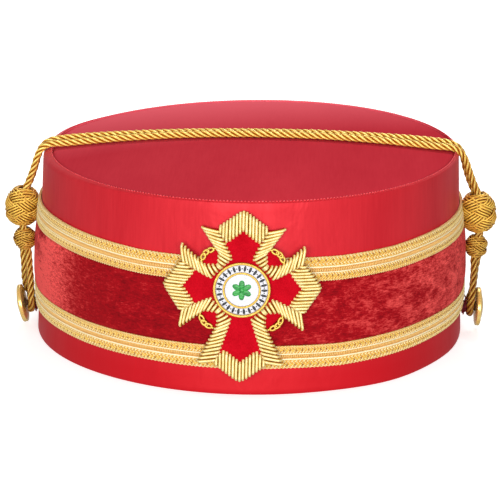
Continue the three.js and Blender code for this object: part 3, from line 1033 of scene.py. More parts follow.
def makeVelvet(material):
    section = [(velvet["low"], velvet["back"])]
    for share in np.linspace(-1, 1, velvet["rows"]):
        up = (velvet["low"] + velvet["high"]) / 2 + share * (velvet["high"] - velvet["low"]) / 2
        swell = velvet["middleRise"] - velvet["edgeRise"]
        section.append((up, velvet["edgeRise"] + swell * (1 - abs(share) ** 4)))
    section += [(velvet["high"], velvet["back"]), (velvet["low"], velvet["back"])]
    piece = crownRings(section, velvet["around"])
    setPlaces(piece, asSewn(meshPlaces(piece)))
    return nameAndFinish(piece, "velvetBand", material, "velvet", "velvet_band")


def velvetMaterial():
    material, tree, surface = newMaterial(
        "crushedVelvet", Roughness=0.9, Specular_IOR_Level=0.1,
        Sheen_Weight=0.15, Sheen_Roughness=0.4, Sheen_Tint=srgb(255, 110, 104),
    )
    turn, up = aroundAndUp(tree)
    # the pile was brushed round the band, so its marks lie along it
    along = calc(tree, "MULTIPLY", turn, crown["girth"] / mm)
    spread = put(tree, "ShaderNodeCombineXYZ", {"X": along, "Y": up}).outputs["Vector"]
    patch = noise(tree, stretched(tree, spread, (0.1, 0.2, 1)), detail=4, roughness=0.6, distortion=0.5)
    patch = rescale(tree, patch, 0.33, 0.67, 0, 1)
    mottle = noise(tree, stretched(tree, spread, (0.3, 0.8, 1)), detail=4, roughness=0.65)
    stroke = noise(tree, stretched(tree, spread, (0.55, 2.2, 1)), detail=3, roughness=0.6, distortion=0.6)
    fleck = noise(tree, objectPlace(tree), scale=1500, detail=2, roughness=0.7)
    uneven = calc(tree, "MULTIPLY_ADD", calc(tree, "SUBTRACT", patch, 0.5), 0.04, turn)
    # the pile's lay round the band, partly painted sheen at the sides
    stops = [(at + 0.5, grey(pale)) for at, pale in velvet["lay"]]
    lay = ramp(tree, calc(tree, "ADD", uneven, 0.5), *stops)
    marks = 0
    for mark, share in ((patch, 0.3), (mottle, 0.8), (stroke, 0.9), (fleck, 0.4)):
        marks = calc(tree, "MULTIPLY_ADD", calc(tree, "SUBTRACT", mark, 0.5), share, marks)
    # painted shade over the top of the band at its left end
    unevenUp = calc(tree, "MULTIPLY_ADD", patch, velvet["uneven"], up)
    paintedTopShade = rescale(tree, unevenUp, *velvet["paintedTopShadeUp"], 0, 1)
    for edge in (velvet["paintedTopShadeLeft"], velvet["paintedTopShadeRight"]):
        paintedTopShade = calc(tree, "MULTIPLY", paintedTopShade, rescale(tree, uneven, *edge, 0, 1))
    lay = calc(tree, "MULTIPLY_ADD", paintedTopShade, -velvet["paintedTopShade"], lay)
    # pale pile shows its marks more than dark
    strength = calc(tree, "MULTIPLY_ADD", lay, 1.4, 0.36)
    tone = calc(tree, "MULTIPLY_ADD", marks, strength, lay)
    colour = ramp(tree, tone, (0.0, velvet["deep"]), (0.3, velvet["body"]), (0.85, velvet["bright"]))
    tree.links.new(colour, surface.inputs["Base Color"])
    bump(tree, surface, patch, velvet["pileRise"])
    bump(tree, surface, fleck, velvet["pileRise"])
    return material


# Gold braids along both edges of the velvet

braids = dict(
    around=400,
    back=0.3 * mm,
    velvetRise=1.75 * mm,
    farRise=0.95 * mm,
    # hole: painted shade inside the eyelets
    hole=srgb(150, 74, 8),
    # shade: the colour of the painted shadow beside the raised cream thread
    shade=srgb(220, 152, 50),
    peach=srgb(236, 186, 112),
    pale=srgb(230, 190, 66),
    cream=srgb(250, 240, 200),
    # painted shade under each thread
    paintedUnderShade=srgb(222, 186, 132),
    ground=[srgb(208, 142, 40), srgb(236, 182, 70)],
    # threads that run along: share of the width from the far edge, rise and radius in mm, tint
    lines=[
        dict(at=0.155, rise=0.05, radius=0.26, tint=0.72),
        dict(at=0.375, rise=0.14, radius=0.22, tint=0.66),
        dict(at=0.415, rise=0.34, radius=0.34, tint=1.0),
        # its dark tint is a painted shadow below the raised cream thread
        dict(at=0.465, rise=0.12, radius=0.26, tint=0.2),
        dict(at=0.645, rise=0.28, radius=0.26, tint=0.98),
        dict(at=0.813, rise=0.05, radius=0.26, tint=0.72),
        dict(at=0.955, rise=0.12, radius=0.2, tint=0.4),
    ],
    # threads that go to and fro: middle and half width as shares, period in mm
    waves=[
        dict(at=0.02, half=0.022, period=1.65, rise=0.12, radius=0.24, tint=0.85),
        dict(at=0.982, half=0.022, period=1.3, rise=0.1, radius=0.24, tint=0.85),
    ],
    # short slanting stitches: from and to as shares, pitch and slant along in mm
    stitches=[
        dict(start=0.045, end=0.13, pitch=1.65, slant=1.1, radius=0.3, tint=0.87),
        dict(start=0.185, end=0.275, pitch=1.65, slant=-1.1, radius=0.3, tint=0.82),
        dict(start=0.275, end=0.36, pitch=1.65, slant=1.1, radius=0.3, tint=0.9),
        dict(start=0.49, end=0.625, pitch=0.8, slant=0.1, radius=0.32, tint=0.5),
        dict(start=0.67, end=0.78, pitch=1.3, slant=1.0, radius=0.28, tint=0.88),
        dict(start=0.845, end=0.94, pitch=1.3, slant=-1.0, radius=0.28, tint=0.82),
    ],
    stitchRise=[0.05, 0.2, 0.05],
    # rows of small eyelets between the threads, pitch in mm
    eyelets=[dict(at=0.155, pitch=3.3), dict(at=0.813, pitch=2.6)],
    eyeletLong=0.66 * mm,
    eyeletHigh=0.52 * mm,
    eyeletRise=0.42 * mm,
    eyeletDeep=0.25 * mm,
    weaveRise=0.1 * mm,
    windingRise=0.03 * mm,
    bands=[
        dict(name="braidUpper", node="braid_upper", velvetEdge=46.8 * mm, farEdge=56.2 * mm),
        dict(name="braidLower", node="braid_lower", velvetEdge=20.5 * mm, farEdge=11.3 * mm),
    ],
)


def crownNormal(turn):
    across, ahead = np.sin(turn) / crown["halfWidth"], np.cos(turn) / crown["halfLength"]
    return unit(np.stack([across, -ahead, 0 * across], axis=-1))


def braidPlace(band, turn, share, rise):
    up = band["farEdge"] + (band["velvetEdge"] - band["farEdge"]) * share
    ground = braids["farRise"] + (braids["velvetRise"] - braids["farRise"]) * share
    return onCrown(turn, up, ground + rise)


def braidThreads(band):
    around = crown["girth"]
    sets = []
    for row in braids["lines"]:
        turn = evenTurns(braids["around"], band["farEdge"])
        line = braidPlace(band, turn, row["at"], row["rise"] * mm)
        sets.append(tubes(line[None], crownNormal(turn)[None], row["radius"] * mm, 5, True, row["tint"]))
    for row in braids["waves"]:
        periods = round(around / mm / row["period"])
        turn = evenTurns(2 * periods, band["farEdge"])
        way = np.where(np.arange(2 * periods) % 2, 1, -1)
        line = braidPlace(band, turn, row["at"] + way * row["half"], row["rise"] * mm)
        sets.append(tubes(line[None], crownNormal(turn)[None], row["radius"] * mm, 4, True, row["tint"]))
    for row in braids["stitches"]:
        turn = evenTurns(round(around / mm / row["pitch"]), band["farEdge"])
        reach = row["slant"] * mm / crown["halfLength"]
        turns = turn[:, None] + np.array([0, 0.5, 1]) * reach
        shares = np.array([row["start"], (row["start"] + row["end"]) / 2, row["end"]]) + 0 * turns
        line = braidPlace(band, turns, shares, np.array(braids["stitchRise"]) * mm)
        sets.append(tubes(line, crownNormal(turns), row["radius"] * mm, 4, tint=row["tint"]))
    for row in braids["eyelets"]:
        sets.append(eyeletRow(band, row, round(around / mm / row["pitch"])))
    return pieceFromArrays(*joinArrays(sets))


# small dark lozenges, each a low pyramid of four faces, in the hole colour: painted shade in the eyelets
def eyeletRow(band, row, count):
    turn = evenTurns(count, band["farEdge"])
    middle = braidPlace(band, turn, row["at"], braids["eyeletRise"])
    normal = crownNormal(turn)
    along = np.stack([-normal[:, 1], normal[:, 0], 0 * turn], axis=-1) * braids["eyeletLong"]
    upward = np.array([0, 0, braids["eyeletHigh"]])
    low = middle - normal * braids["eyeletDeep"]
    corners = [middle, low + along, low + upward, low - along, low - upward]
    places = np.stack(corners, axis=1).reshape(-1, 3)
    faces = []
    for first in range(0, 5 * count, 5):
        faces += [[first, first + 1, first + 2], [first, first + 2, first + 3]]
        faces += [[first, first + 3, first + 4], [first, first + 4, first + 1]]
        faces.append([first + 4, first + 3, first + 2, first + 1])
    return places, faces, np.zeros((16 * count, 2)), np.zeros(5 * count)


def makeBraid(band, ground, thread):
    low, high = braids["farRise"], braids["velvetRise"]
    far, near = band["farEdge"], band["velvetEdge"]
    section = [(far, braids["back"])]
    for share in np.linspace(0, 1, 7):
        section.append((far + (near - far) * share, low + (high - low) * share))
    section += [(near, braids["back"]), (far, braids["back"])]
    piece = crownRings(section, braids["around"])
    piece.data.materials.append(ground)
    threads = braidThreads(band)
    threads.data.materials.append(thread)
    joinPieces([piece, threads])
    setPlaces(piece, asSewn(meshPlaces(piece)))
    return nameAndFinish(piece, band["name"], None, "gold_braid", band["node"])


# flat metal thread glints towards the sides of the cap
goldSheen = dict(
    Specular_IOR_Level=0.3, Sheen_Weight=0.8, Sheen_Roughness=0.5, Sheen_Tint=srgb(255, 224, 168),
)


# the woven ground under the threads
def braidGround():
    material, tree, surface = newMaterial("braidGround", Roughness=0.55, **goldSheen)
    weave = noise(tree, objectPlace(tree), scale=1400, detail=2, roughness=0.6)
    colour = ramp(tree, weave, *zip((0.35, 0.65), braids["ground"]))
    tree.links.new(colour, surface.inputs["Base Color"])
    bump(tree, surface, weave, braids["weaveRise"])
    return material


def braidMaterial():
    material, tree, surface = newMaterial("braidThread", Roughness=0.45, **goldSheen)
    crest, along, around = crestAndAlong(tree)
    tint = put(tree, "ShaderNodeAttribute", attribute_name="tint").outputs["Fac"]
    slant = calc(tree, "MULTIPLY_ADD", along, 1.6, around)
    wound = calc(tree, "SINE", calc(tree, "MULTIPLY", slant, full))
    fleck = noise(tree, objectPlace(tree), scale=900, detail=2)
    tone = calc(tree, "MULTIPLY_ADD", calc(tree, "SUBTRACT", fleck, 0.5), 0.3, tint)
    tone = calc(tree, "MULTIPLY_ADD", wound, 0.04, tone)
    threads = [braids[name] for name in ("hole", "shade", "peach", "pale", "cream")]
    colour = ramp(tree, tone, *zip((0.0, 0.22, 0.48, 0.75, 1.0), threads))
    # painted shade on the underside of each thread
    under = ramp(tree, crest, (0.3, braids["paintedUnderShade"]), (0.7, grey(1)))
    tree.links.new(blend(tree, 1.0, colour, under, "MULTIPLY"), surface.inputs["Base Color"])
    bump(tree, surface, wound, braids["windingRise"])
    return material


# Embroidered cross on the front, in a flat frame of (right, up, out) about its middle

cross = dict(
    middle=44.6 * mm,
    right=0.75 * mm,
    tilt=-0.7,
    onSatin=0.4 * mm,
    onTrims=2.9 * mm,
    lowFoot=-6 * mm,
    lowTop=10.5 * mm,
    highTop=57.5 * mm,
    highFoot=70 * mm,
    arms=[
        dict(name="top", turn=0, reach=-1.0 * mm),
        dict(name="left", turn=90, reach=-0.4 * mm),
        dict(name="bottom", turn=180, reach=5.8 * mm),
        dict(name="right", turn=-90, reach=-0.4 * mm),
    ],
)


# stands clear of the trims in the middle and comes down to the satin at both ends
def crossLift(up):
    lower = smoothStep(up, cross["lowFoot"], cross["lowTop"])
    upper = 1 - smoothStep(up, cross["highTop"], cross["highFoot"])
    share = np.where(up < cross["middle"], lower, upper)
    return cross["onSatin"] + (cross["onTrims"] - cross["onSatin"]) * share


def onCross(flat):
    tilt = math.radians(cross["tilt"])
    right = cross["right"] + flat[..., 0] * math.cos(tilt) - flat[..., 1] * math.sin(tilt)
    up = cross["middle"] + flat[..., 0] * math.sin(tilt) + flat[..., 1] * math.cos(tilt)
    wide, long = (size + cross["onTrims"] for size in ovalAt(up))
    turn = np.zeros_like(right)
    steps = 16
    for _ in range(steps):
        turn = turn + right / steps / np.hypot(wide * np.cos(turn), long * np.sin(turn))
    return onCrown(turn, up, crossLift(up) + flat[..., 2])


def onCrossNormal(flat):
    stepOut = (0, 0, 0.1 * mm)
    return unit(onCross(flat + stepOut) - onCross(flat))


# one tube along a line in the cross's flat frame
def crossTube(flat, radius, sides, closed=False):
    return tubes(onCross(flat)[None], onCrossNormal(flat)[None], radius, sides, closed)


def armPoint(arm, across, along, far=True):
    along = along * mm + (arm["reach"] if far else 0)
    across = across * mm
    angle = math.radians(arm["turn"])
    right = across * math.cos(angle) - along * math.sin(angle)
    up = across * math.sin(angle) + along * math.cos(angle)
    return np.array([right, up])


felt = dict(
    thickness=1 * mm,
    cut=2.5 * mm,
    roundEdge=0.25 * mm,
    cornerBulge=13.4,  # mm, across and along
    fuzzRise=0.15 * mm,
    colours=[srgb(166, 3, 18), srgb(196, 10, 30)],
)
# half of an arm's outline, across and along in mm; far corners move out with the arm's reach
feltCorners = [
    dict(across=10.4, along=16.2, far=False),
    dict(across=16, along=24.2, far=True),
    dict(across=9.5, along=24.1, far=True),
    dict(across=0, along=31, far=True),
]


def feltOutline():
    points = []
    for arm in cross["arms"]:
        points.append(armPoint(arm, felt["cornerBulge"], felt["cornerBulge"], far=False))
        for corner in feltCorners:
            points.append(armPoint(arm, corner["across"], corner["along"], corner["far"]))
        for corner in reversed(feltCorners[:-1]):
            points.append(armPoint(arm, -corner["across"], corner["along"], corner["far"]))
    return points


# a flat outline given its thickness, sliced so that it can follow the crown, and laid on it
def layOutline(points, low, high, cut, roundEdge):
    deselectAll()
    bpy.ops.mesh.primitive_circle_add(vertices=len(points), radius=1, fill_type="NGON")
    piece = bpy.context.active_object
    flat = np.array([(x, y, low) for x, y in points])
    setPlaces(piece, flat)
    bpy.ops.object.mode_set(mode="EDIT")
    bpy.ops.mesh.select_all(action="SELECT")
    bpy.ops.mesh.extrude_region_move(TRANSFORM_OT_translate={"value": (0, 0, high - low)})
    bpy.ops.mesh.bevel(offset=roundEdge, segments=2, affect="EDGES")
    bpy.ops.mesh.select_all(action="SELECT")
    bpy.ops.mesh.quads_convert_to_tris()
    lowest, highest = flat.min(axis=0), flat.max(axis=0)
    for axis, normal in ((0, (1, 0, 0)), (1, (0, 1, 0))):
        for at in np.arange(lowest[axis] + cut, highest[axis], cut):
            spot = [0, 0, 0]
            spot[axis] = at
            bpy.ops.mesh.select_all(action="SELECT")
            bpy.ops.mesh.bisect(plane_co=spot, plane_no=normal)
    bpy.ops.mesh.select_all(action="SELECT")
    bpy.ops.mesh.remove_doubles(threshold=0.002 * mm)
    bpy.ops.mesh.normals_make_consistent(inside=False)
    bpy.ops.object.mode_set(mode="OBJECT")
    setPlaces(piece, onCross(meshPlaces(piece)))
    bpy.ops.object.shade_smooth_by_angle(angle=math.radians(40))
    return piece


def makeFelt(material):
    piece = layOutline(feltOutline(), 0, felt["thickness"], felt["cut"], felt["roundEdge"])
    return nameAndFinish(piece, "feltGround", material, "red_felt", "cross_ground")


def feltMaterial():
    material, tree, surface = newMaterial("redFelt", Roughness=0.9, Specular_IOR_Level=0.05)
    place = objectPlace(tree)
    fuzz = noise(tree, place, scale=1500, detail=4, roughness=0.7)
    cloud = noise(tree, place, scale=220, detail=3)
    tone = calc(tree, "ADD", calc(tree, "MULTIPLY", fuzz, 0.6), calc(tree, "MULTIPLY", cloud, 0.4))
    colour = ramp(tree, tone, *zip((0.35, 0.65), felt["colours"]))
    tree.links.new(colour, surface.inputs["Base Color"])
    bump(tree, surface, fuzz, felt["fuzzRise"])
    return material


# Bullion: short coiled tubes laid side by side over a little padding

bullion = dict(
    wire=1.32 * mm,  # a tube's diameter
    coil=0.42 * mm,
    perCoil=4,
    groove=0.05,  # share of the radius
    sides=8,
    low=0.85 * mm,  # a tube's middle at its sewn ends
    crest=2.1 * mm,  # and over the padding
    slope=1.3 * mm,  # from a sewn end up to the crest
    pinch=0.7,  # share of the radius left at a sewn end
    barPitch=1.66 * mm,
    tipTubes=15,
    tipHalf=9.1,  # mm, to its outermost tubes
    farFrom=18,  # mm along an arm, past which corners move out with its reach
    wander=0.16 * mm,
    coilRise=0.03 * mm,
    # painted shade where two tubes meet and beside them, their faces, then a painted highlight along their
    # crests
    colours=[srgb(100, 52, 4), srgb(178, 114, 16), srgb(218, 168, 48), srgb(252, 234, 166)],
)
# edges of a bar and of a chevron tip, across and along in mm, from the far end to the roundel
barOuter = [(16.7, 24.6), (9.3, 14.7), (9.6, 9.9)]
barInner = [(9.3, 23.3), (4.0, 12.3), (8.0, 8.5)]
tipTop = [(0, 31.7), (1.5, 31.2), (9.3, 25.6)]
tipFoot = [(0, 24.0), (6.2, 19.4), (7.2, 20.2), (9.3, 22.9)]
randomTubes = np.random.default_rng(7)


def alongLine(points, shares):
    points = np.asarray(points, float)
    length = np.concatenate([[0], np.linalg.norm(np.diff(points, axis=0), axis=1).cumsum()])
    at = np.asarray(shares) * length[-1]
    return np.stack([np.interp(at, length, points[:, k]) for k in range(2)], axis=1)


# tubes between pairs of flat points, bowed up over the padding, with the grooves of their coils
def bullionTubes(starts, ends):
    sets = []
    for start, end in zip(starts, ends):
        length = np.linalg.norm(end - start)
        coils = max(3, round(length / bullion["coil"]))
        share = np.linspace(0, 1, coils * bullion["perCoil"] + 1)
        jitter = randomTubes.uniform(-1, 1, 3) * bullion["wander"]
        middle = (start + end) / 2 + jitter[:2]
        bow = ((1 - share) ** 2)[:, None] * start + (2 * share * (1 - share))[:, None] * middle
        bow = bow + (share ** 2)[:, None] * end
        rise = np.clip(np.minimum(share, 1 - share) * length / bullion["slope"], 0, 1)
        rise = np.sin(rise * math.pi / 2)
        height = bullion["low"] + (bullion["crest"] - bullion["low"] + jitter[2]) * rise
        flat = np.concatenate([bow, height[:, None]], axis=1)
        radius = bullion["wire"] / 2 * (1 - bullion["groove"] * np.cos(share * coils * full))
        radius[[0, -1]] *= bullion["pinch"]
        sets.append(crossTube(flat, radius, bullion["sides"]))
    return pieceFromArrays(*joinArrays(sets))


def flatPoints(arm, hand, points):
    far = bullion["farFrom"]
    return np.array([armPoint(arm, hand * across, along, along > far) for across, along in points])


def makeBar(arm, hand, material):
    corners = flatPoints(arm, hand, barOuter)
    length = np.linalg.norm(np.diff(corners, axis=0), axis=1).sum()
    shares = np.linspace(0, 1, round(length / bullion["barPitch"]) + 1)
    outer = alongLine(corners, shares)
    inner = alongLine(flatPoints(arm, hand, barInner), shares)
    piece = bullionTubes(outer, inner)
    number = 2 if hand > 0 else 1
    name = f"bullionBar{arm['name'].capitalize()}{number}"
    return nameAndFinish(piece, name, material, "bullion", f"bullion_bar_{arm['name']}_{number}")


def makeTipChevron(arm, material):
    tops, feet = [], []
    for step in np.linspace(-1, 1, bullion["tipTubes"]):
        across = step * bullion["tipHalf"]
        top = np.interp(abs(across), *zip(*tipTop))
        foot = np.interp(abs(across), *zip(*tipFoot))
        tops.append(armPoint(arm, across, top))
        feet.append(armPoint(arm, across, foot))
    piece = bullionTubes(np.array(tops), np.array(feet))
    name = f"bullionTip{arm['name'].capitalize()}"
    return nameAndFinish(piece, name, material, "bullion", f"bullion_tip_{arm['name']}")


# coiled wire, with a painted highlight along the top of each tube and painted shade where two meet
def wireMaterial(name, coil, colours):
    material, tree, surface = newMaterial(name, Metallic=0.2, Roughness=0.32)
    crest, along, _ = crestAndAlong(tree)
    wound = calc(tree, "SINE", calc(tree, "MULTIPLY", calc(tree, "DIVIDE", along, coil / mm), full))
    tarnish = noise(tree, objectPlace(tree), scale=420, detail=3)
    tone = calc(tree, "MULTIPLY_ADD", calc(tree, "SUBTRACT", tarnish, 0.5), 0.25, crest)
    tone = calc(tree, "MULTIPLY_ADD", wound, 0.03, tone)
    colour = ramp(tree, tone, *zip((0.42, 0.57, 0.8, 1.0), colours))
    tree.links.new(colour, surface.inputs["Base Color"])
    tree.links.new(rescale(tree, tarnish, 0.3, 0.7, 0.38, 0.26), surface.inputs["Roughness"])
    bump(tree, surface, wound, bullion["coilRise"])
    return material


# Corner scrolls: a short chain of long purl loops across each corner of the cross

scroll = dict(
    ends=[(10.6, 16.2), (14.3, 14.3), (16.2, 10.6)],  # across and along, in mm
    rings=[0.26, 0.5, 0.74],  # where the loops lie, as shares of the chain
    tails=[(0.0, 0.14), (0.86, 1.0)],
    ringLong=1.4 * mm,
    ringWide=0.78 * mm,
    wire=0.84 * mm,
    height=1.75 * mm,
    weave=0.34 * mm,
    stations=26,
    tailStations=6,
    step=0.02 * mm,  # between the points of the chain's line
    sides=7,
    coil=0.5 * mm,
    # painted shade where the wires meet and beside them, their faces, then a painted highlight along their
    # crests
    colours=[srgb(90, 44, 4), srgb(176, 112, 18), srgb(216, 162, 42), srgb(246, 212, 104)],
)


def makeScroll(arm, material):
    ends = [armPoint(arm, across, along, far=False) for across, along in scroll["ends"]]
    arch = evenly(smoothLine([(*end, 0) for end in ends], 30), scroll["step"])[:, :2]
    last = len(arch) - 1
    radius = scroll["wire"] / 2
    sets = []
    for share in scroll["rings"]:
        at = round(share * last)
        ahead = unit(arch[min(at + 5, last)] - arch[at - 5])
        aside = np.array([-ahead[1], ahead[0]])
        turn = np.arange(scroll["stations"]) / scroll["stations"] * full
        # each loop dips under the one before and lies over the one after
        height = scroll["height"] + scroll["weave"] * np.cos(turn)
        loop = arch[at] + scroll["ringLong"] * np.outer(np.cos(turn), ahead)
        loop = loop + scroll["ringWide"] * np.outer(np.sin(turn), aside)
        flat = np.concatenate([loop, height[:, None]], axis=1)
        sets.append(crossTube(flat, radius, scroll["sides"], True))
    for shares in scroll["tails"]:
        at = np.linspace(*shares, scroll["tailStations"]) * last
        tail = arch[at.round().astype(int)]
        flat = np.concatenate([tail, np.full((len(tail), 1), scroll["height"])], axis=1)
        sets.append(crossTube(flat, radius, scroll["sides"]))
    piece = pieceFromArrays(*joinArrays(sets))
    name = f"purlScroll{arm['name'].capitalize()}"
    return nameAndFinish(piece, name, material, "bullion", f"corner_scroll_{arm['name']}")


# Roundel in the middle: white twill, two gold rings, a ring of plain marks and a rosette

roundel = dict(
    disc=10.1 * mm,
    low=1.2 * mm,
    top=2.5 * mm,
    edgeDrop=0.3 * mm,
    rings=[
        dict(
            name="roundelRim", node="roundel_rim",
            radius=10.6 * mm, height=2.3 * mm, wire=1.0 * mm, twists=70,
        ),
        dict(
            name="roundelRing", node="roundel_ring",
            radius=6.9 * mm, height=2.75 * mm, wire=0.85 * mm, twists=46,
        ),
    ],
    perTwist=8,
    ringSides=6,
    marks=52,
    markRing=8.7 * mm,
    markLong=1.2 * mm,
    markWide=0.5 * mm,
    markRise=0.3 * mm,
    markSunk=0.12 * mm,
    dot=0.26 * mm,
    dotRise=0.25 * mm,
    petals=6,
    petalLong=1.75 * mm,
    petalWide=1.15 * mm,
    petalRise=0.55 * mm,
    petalRing=2.3 * mm,
    heart=0.9 * mm,
    heartRise=0.7 * mm,
    petalSunk=0.1 * mm,
    twill=[srgb(204, 204, 212), srgb(232, 231, 236)],
    black=[srgb(12, 12, 16), srgb(48, 48, 54)],
    green=[srgb(20, 110, 46), srgb(70, 176, 84)],
)


def makeDisc(material):
    rows = [(0, 0, roundel["low"]), (roundel["disc"], roundel["disc"], roundel["low"])]
    for share in np.linspace(1, 0, 14):
        radius = roundel["disc"] * share
        rows.append((radius, radius, roundel["top"] - roundel["edgeDrop"] * share ** 4))
    piece = extrudeRings(rows, 64)
    setPlaces(piece, onCross(meshPlaces(piece)))
    return nameAndFinish(piece, "roundelDisc", material, "white_twill", "roundel_disc")


# a ring of two twisted wires
def makeRing(row, material):
    stations = row["twists"] * roundel["perTwist"]
    turn = np.arange(stations) / stations * full
    wire = row["wire"]
    sets = []
    for start in (0, math.pi):
        roll = turn * row["twists"] + start
        reach = row["radius"] + wire / 4 * np.cos(roll)
        up = row["height"] + wire / 4 * np.sin(roll)
        flat = np.stack([reach * np.cos(turn), reach * np.sin(turn), up], axis=1)
        sets.append(crossTube(flat, wire / 3.2, roundel["ringSides"], True))
    piece = pieceFromArrays(*joinArrays(sets))
    return nameAndFinish(piece, row["name"], material, "bullion", row["node"])


# one satin-stitched leaf shape, domed, about the origin with its length along x
def leafShape(long, wide, rise, around=16):
    rows = [(1, 0), (0.98, 0.35), (0.85, 0.7), (0.5, 0.95), (0, 1)]
    return extrudeRings([(long * share, wide * share, rise * height) for share, height in rows], around)


# a copy of a shape at a distance and a turn from the roundel's middle, sunk a little into the twill
def copyAt(piece, ring, turn, sunk):
    x, y, z = meshPlaces(piece).T
    right = ring * math.cos(turn) + x * math.cos(turn) - y * math.sin(turn)
    up = ring * math.sin(turn) + x * math.sin(turn) + y * math.cos(turn)
    flat = np.stack([right, up, roundel["top"] - sunk + z], axis=1)
    copy = piece.copy()
    copy.data = piece.data.copy()
    bpy.context.scene.collection.objects.link(copy)
    setPlaces(copy, onCross(flat))
    return copy


def makeMarks(material):
    # pointed marks and dots in turn, the same all the way round
    mark = leafShape(roundel["markLong"], roundel["markWide"], roundel["markRise"])
    dot = leafShape(roundel["dot"], roundel["dot"], roundel["dotRise"], 10)
    copies = []
    for number in range(roundel["marks"]):
        turn = number / roundel["marks"] * full
        shape = dot if number % 2 else mark
        copies.append(copyAt(shape, roundel["markRing"], turn, roundel["markSunk"]))
    for shape in (mark, dot):
        bpy.data.objects.remove(shape)
    return nameAndFinish(joinPieces(copies), "roundelMarks", material, "white_twill")


def makeRosette(material):
    petal = leafShape(roundel["petalLong"], roundel["petalWide"], roundel["petalRise"], 24)
    heart = leafShape(roundel["heart"], roundel["heart"], roundel["heartRise"], 20)
    copies = [copyAt(heart, 0, 0, roundel["petalSunk"])]
    for number in range(roundel["petals"]):
        turn = (number + 0.5) / roundel["petals"] * full
        copies.append(copyAt(petal, roundel["petalRing"], turn, roundel["petalSunk"]))
    for shape in (petal, heart):
        bpy.data.objects.remove(shape)
    piece = joinPieces(copies)
    return nameAndFinish(piece, "roundelRosette", material, "green_thread", "roundel_rosette")


stitchThread = dict(stretch=(900, 900, 2600), rise=0.08 * mm)


def threadMaterial(name, deep, light, roughness=0.5):
    material, tree, surface = newMaterial(name, Roughness=roughness)
    thread = noise(tree, stretched(tree, objectPlace(tree), stitchThread["stretch"]), detail=2)
    tree.links.new(ramp(tree, thread, (0.35, deep), (0.65, light)), surface.inputs["Base Color"])
    bump(tree, surface, thread, stitchThread["rise"])
    return material


# Buttons at the sides: domed brass on a shank

button = dict(
    x=98.3 * mm,
    y=-9 * mm,
    z=9.6 * mm,
    radius=8.35 * mm,
    edge=2 * mm,
    thickness=3.3 * mm,
    around=64,
    shank=1.1 * mm,
    shankFoot=0.8 * mm,  # where it has narrowed, out from the cloth
    shankNeck=2.2 * mm,  # and from where it widens, back from the disc
    shankHead=0.9 * mm,
    shankClear=0.2 * mm,
    shankSunk=0.6 * mm,
    brass=[srgb(250, 196, 106), srgb(255, 234, 156)],
    # the shank's browns are painted shade between the disc and the cord
    shaded=[srgb(52, 26, 4), srgb(92, 52, 10)],
    sides=[
        dict(name="left", side=-1, lean=12, out=-0.6 * mm, lift=0),
        dict(name="right", side=1, lean=3, out=-0.2 * mm, lift=0.8 * mm),
    ],
)
# the disc's section to the foot of its dome: shares of the radius and of the edge
buttonSection = [
    (0, 0), (0.84, 0), (0.93, 0.05), (0.985, 0.14), (1.0, 0.24), (1.0, 0.36), (0.982, 0.42),
    (0.982, 0.5), (1.0, 0.56), (1.0, 0.8), (0.985, 0.93), (0.95, 1.0), (0.91, 1.0), (0.885, 0.93),
]


def makeButton(row, material, darkMaterial):
    radius, edge, thick = button["radius"], button["edge"], button["thickness"]
    profile = [(radius * share, edge * height) for share, height in buttonSection]
    foot = edge * buttonSection[-1][1]
    for share in np.linspace(0.86, 0, 12):
        profile.append((radius * share, foot + (thick - foot) * (1 - (share / 0.88) ** 2)))
    disc = extrudeRings([(across, across, out) for across, out in profile], button["around"])
    lean = Matrix.Rotation(math.radians(90 + row["lean"]), 4, "Y")
    disc.data.transform(Matrix.Translation((button["x"] + row["out"], 0, 0)) @ lean)
    # the shank starts at the cloth and widens into the disc's back
    start = ovalAt(button["z"])[0] + button["shankClear"]
    end = button["x"] + button["shankSunk"]
    thin = button["shank"]
    back = 2 * thin
    shankRows = [
        (0, start), (thin * 1.5, start), (thin, start + button["shankFoot"]),
        (thin, end - button["shankNeck"]), (back, end - button["shankHead"]), (back, end), (0, end),
    ]
    shank = extrudeRings([(size, size, at) for size, at in shankRows], 20)
    shank.data.transform(Matrix.Rotation(math.radians(90), 4, "Y"))
    disc.data.materials.append(material)
    shank.data.materials.append(darkMaterial)
    piece = joinPieces([disc, shank])
    if row["side"] < 0:
        piece.data.transform(Matrix.Rotation(math.pi, 4, "Z"))
    place = (0, button["y"] + crown["middle"], button["z"] + row["lift"])
    piece.data.transform(Matrix.Translation(place))
    bpy.ops.object.shade_smooth_by_angle(angle=math.radians(45))
    name = f"brassButton{row['name'].capitalize()}"
    return nameAndFinish(piece, name, None, "button_brass", f"side_button_{row['name']}")


# Red sewing thread wound round each shank, with its ends left loose

sewing = dict(
    thread=0.3 * mm,
    turns=9,
    perTurn=14,
    inner=1.5 * mm,
    outer=3.0 * mm,
    reach=2.3 * mm,  # how far the winding comes out from the wall
    colours=[srgb(74, 4, 14), srgb(142, 16, 32)],
    # loose ends from the shank: out, back and up in mm
    ends=[
        [(1.0, -0.4, 1.9), (2.6, -1.6, 3.6), (3.9, -2.4, 5.2), (3.3, -2.8, 6.6), (4.3, -2.8, 7.4)],
        [(1.4, 0.6, 1.8), (1.9, 1.2, 3.2), (1.6, 1.9, 4.4)],
        [(0.8, 0.2, -1.9), (1.2, 0.9, -3.2), (1.0, 1.3, -4.2)],
    ],
)


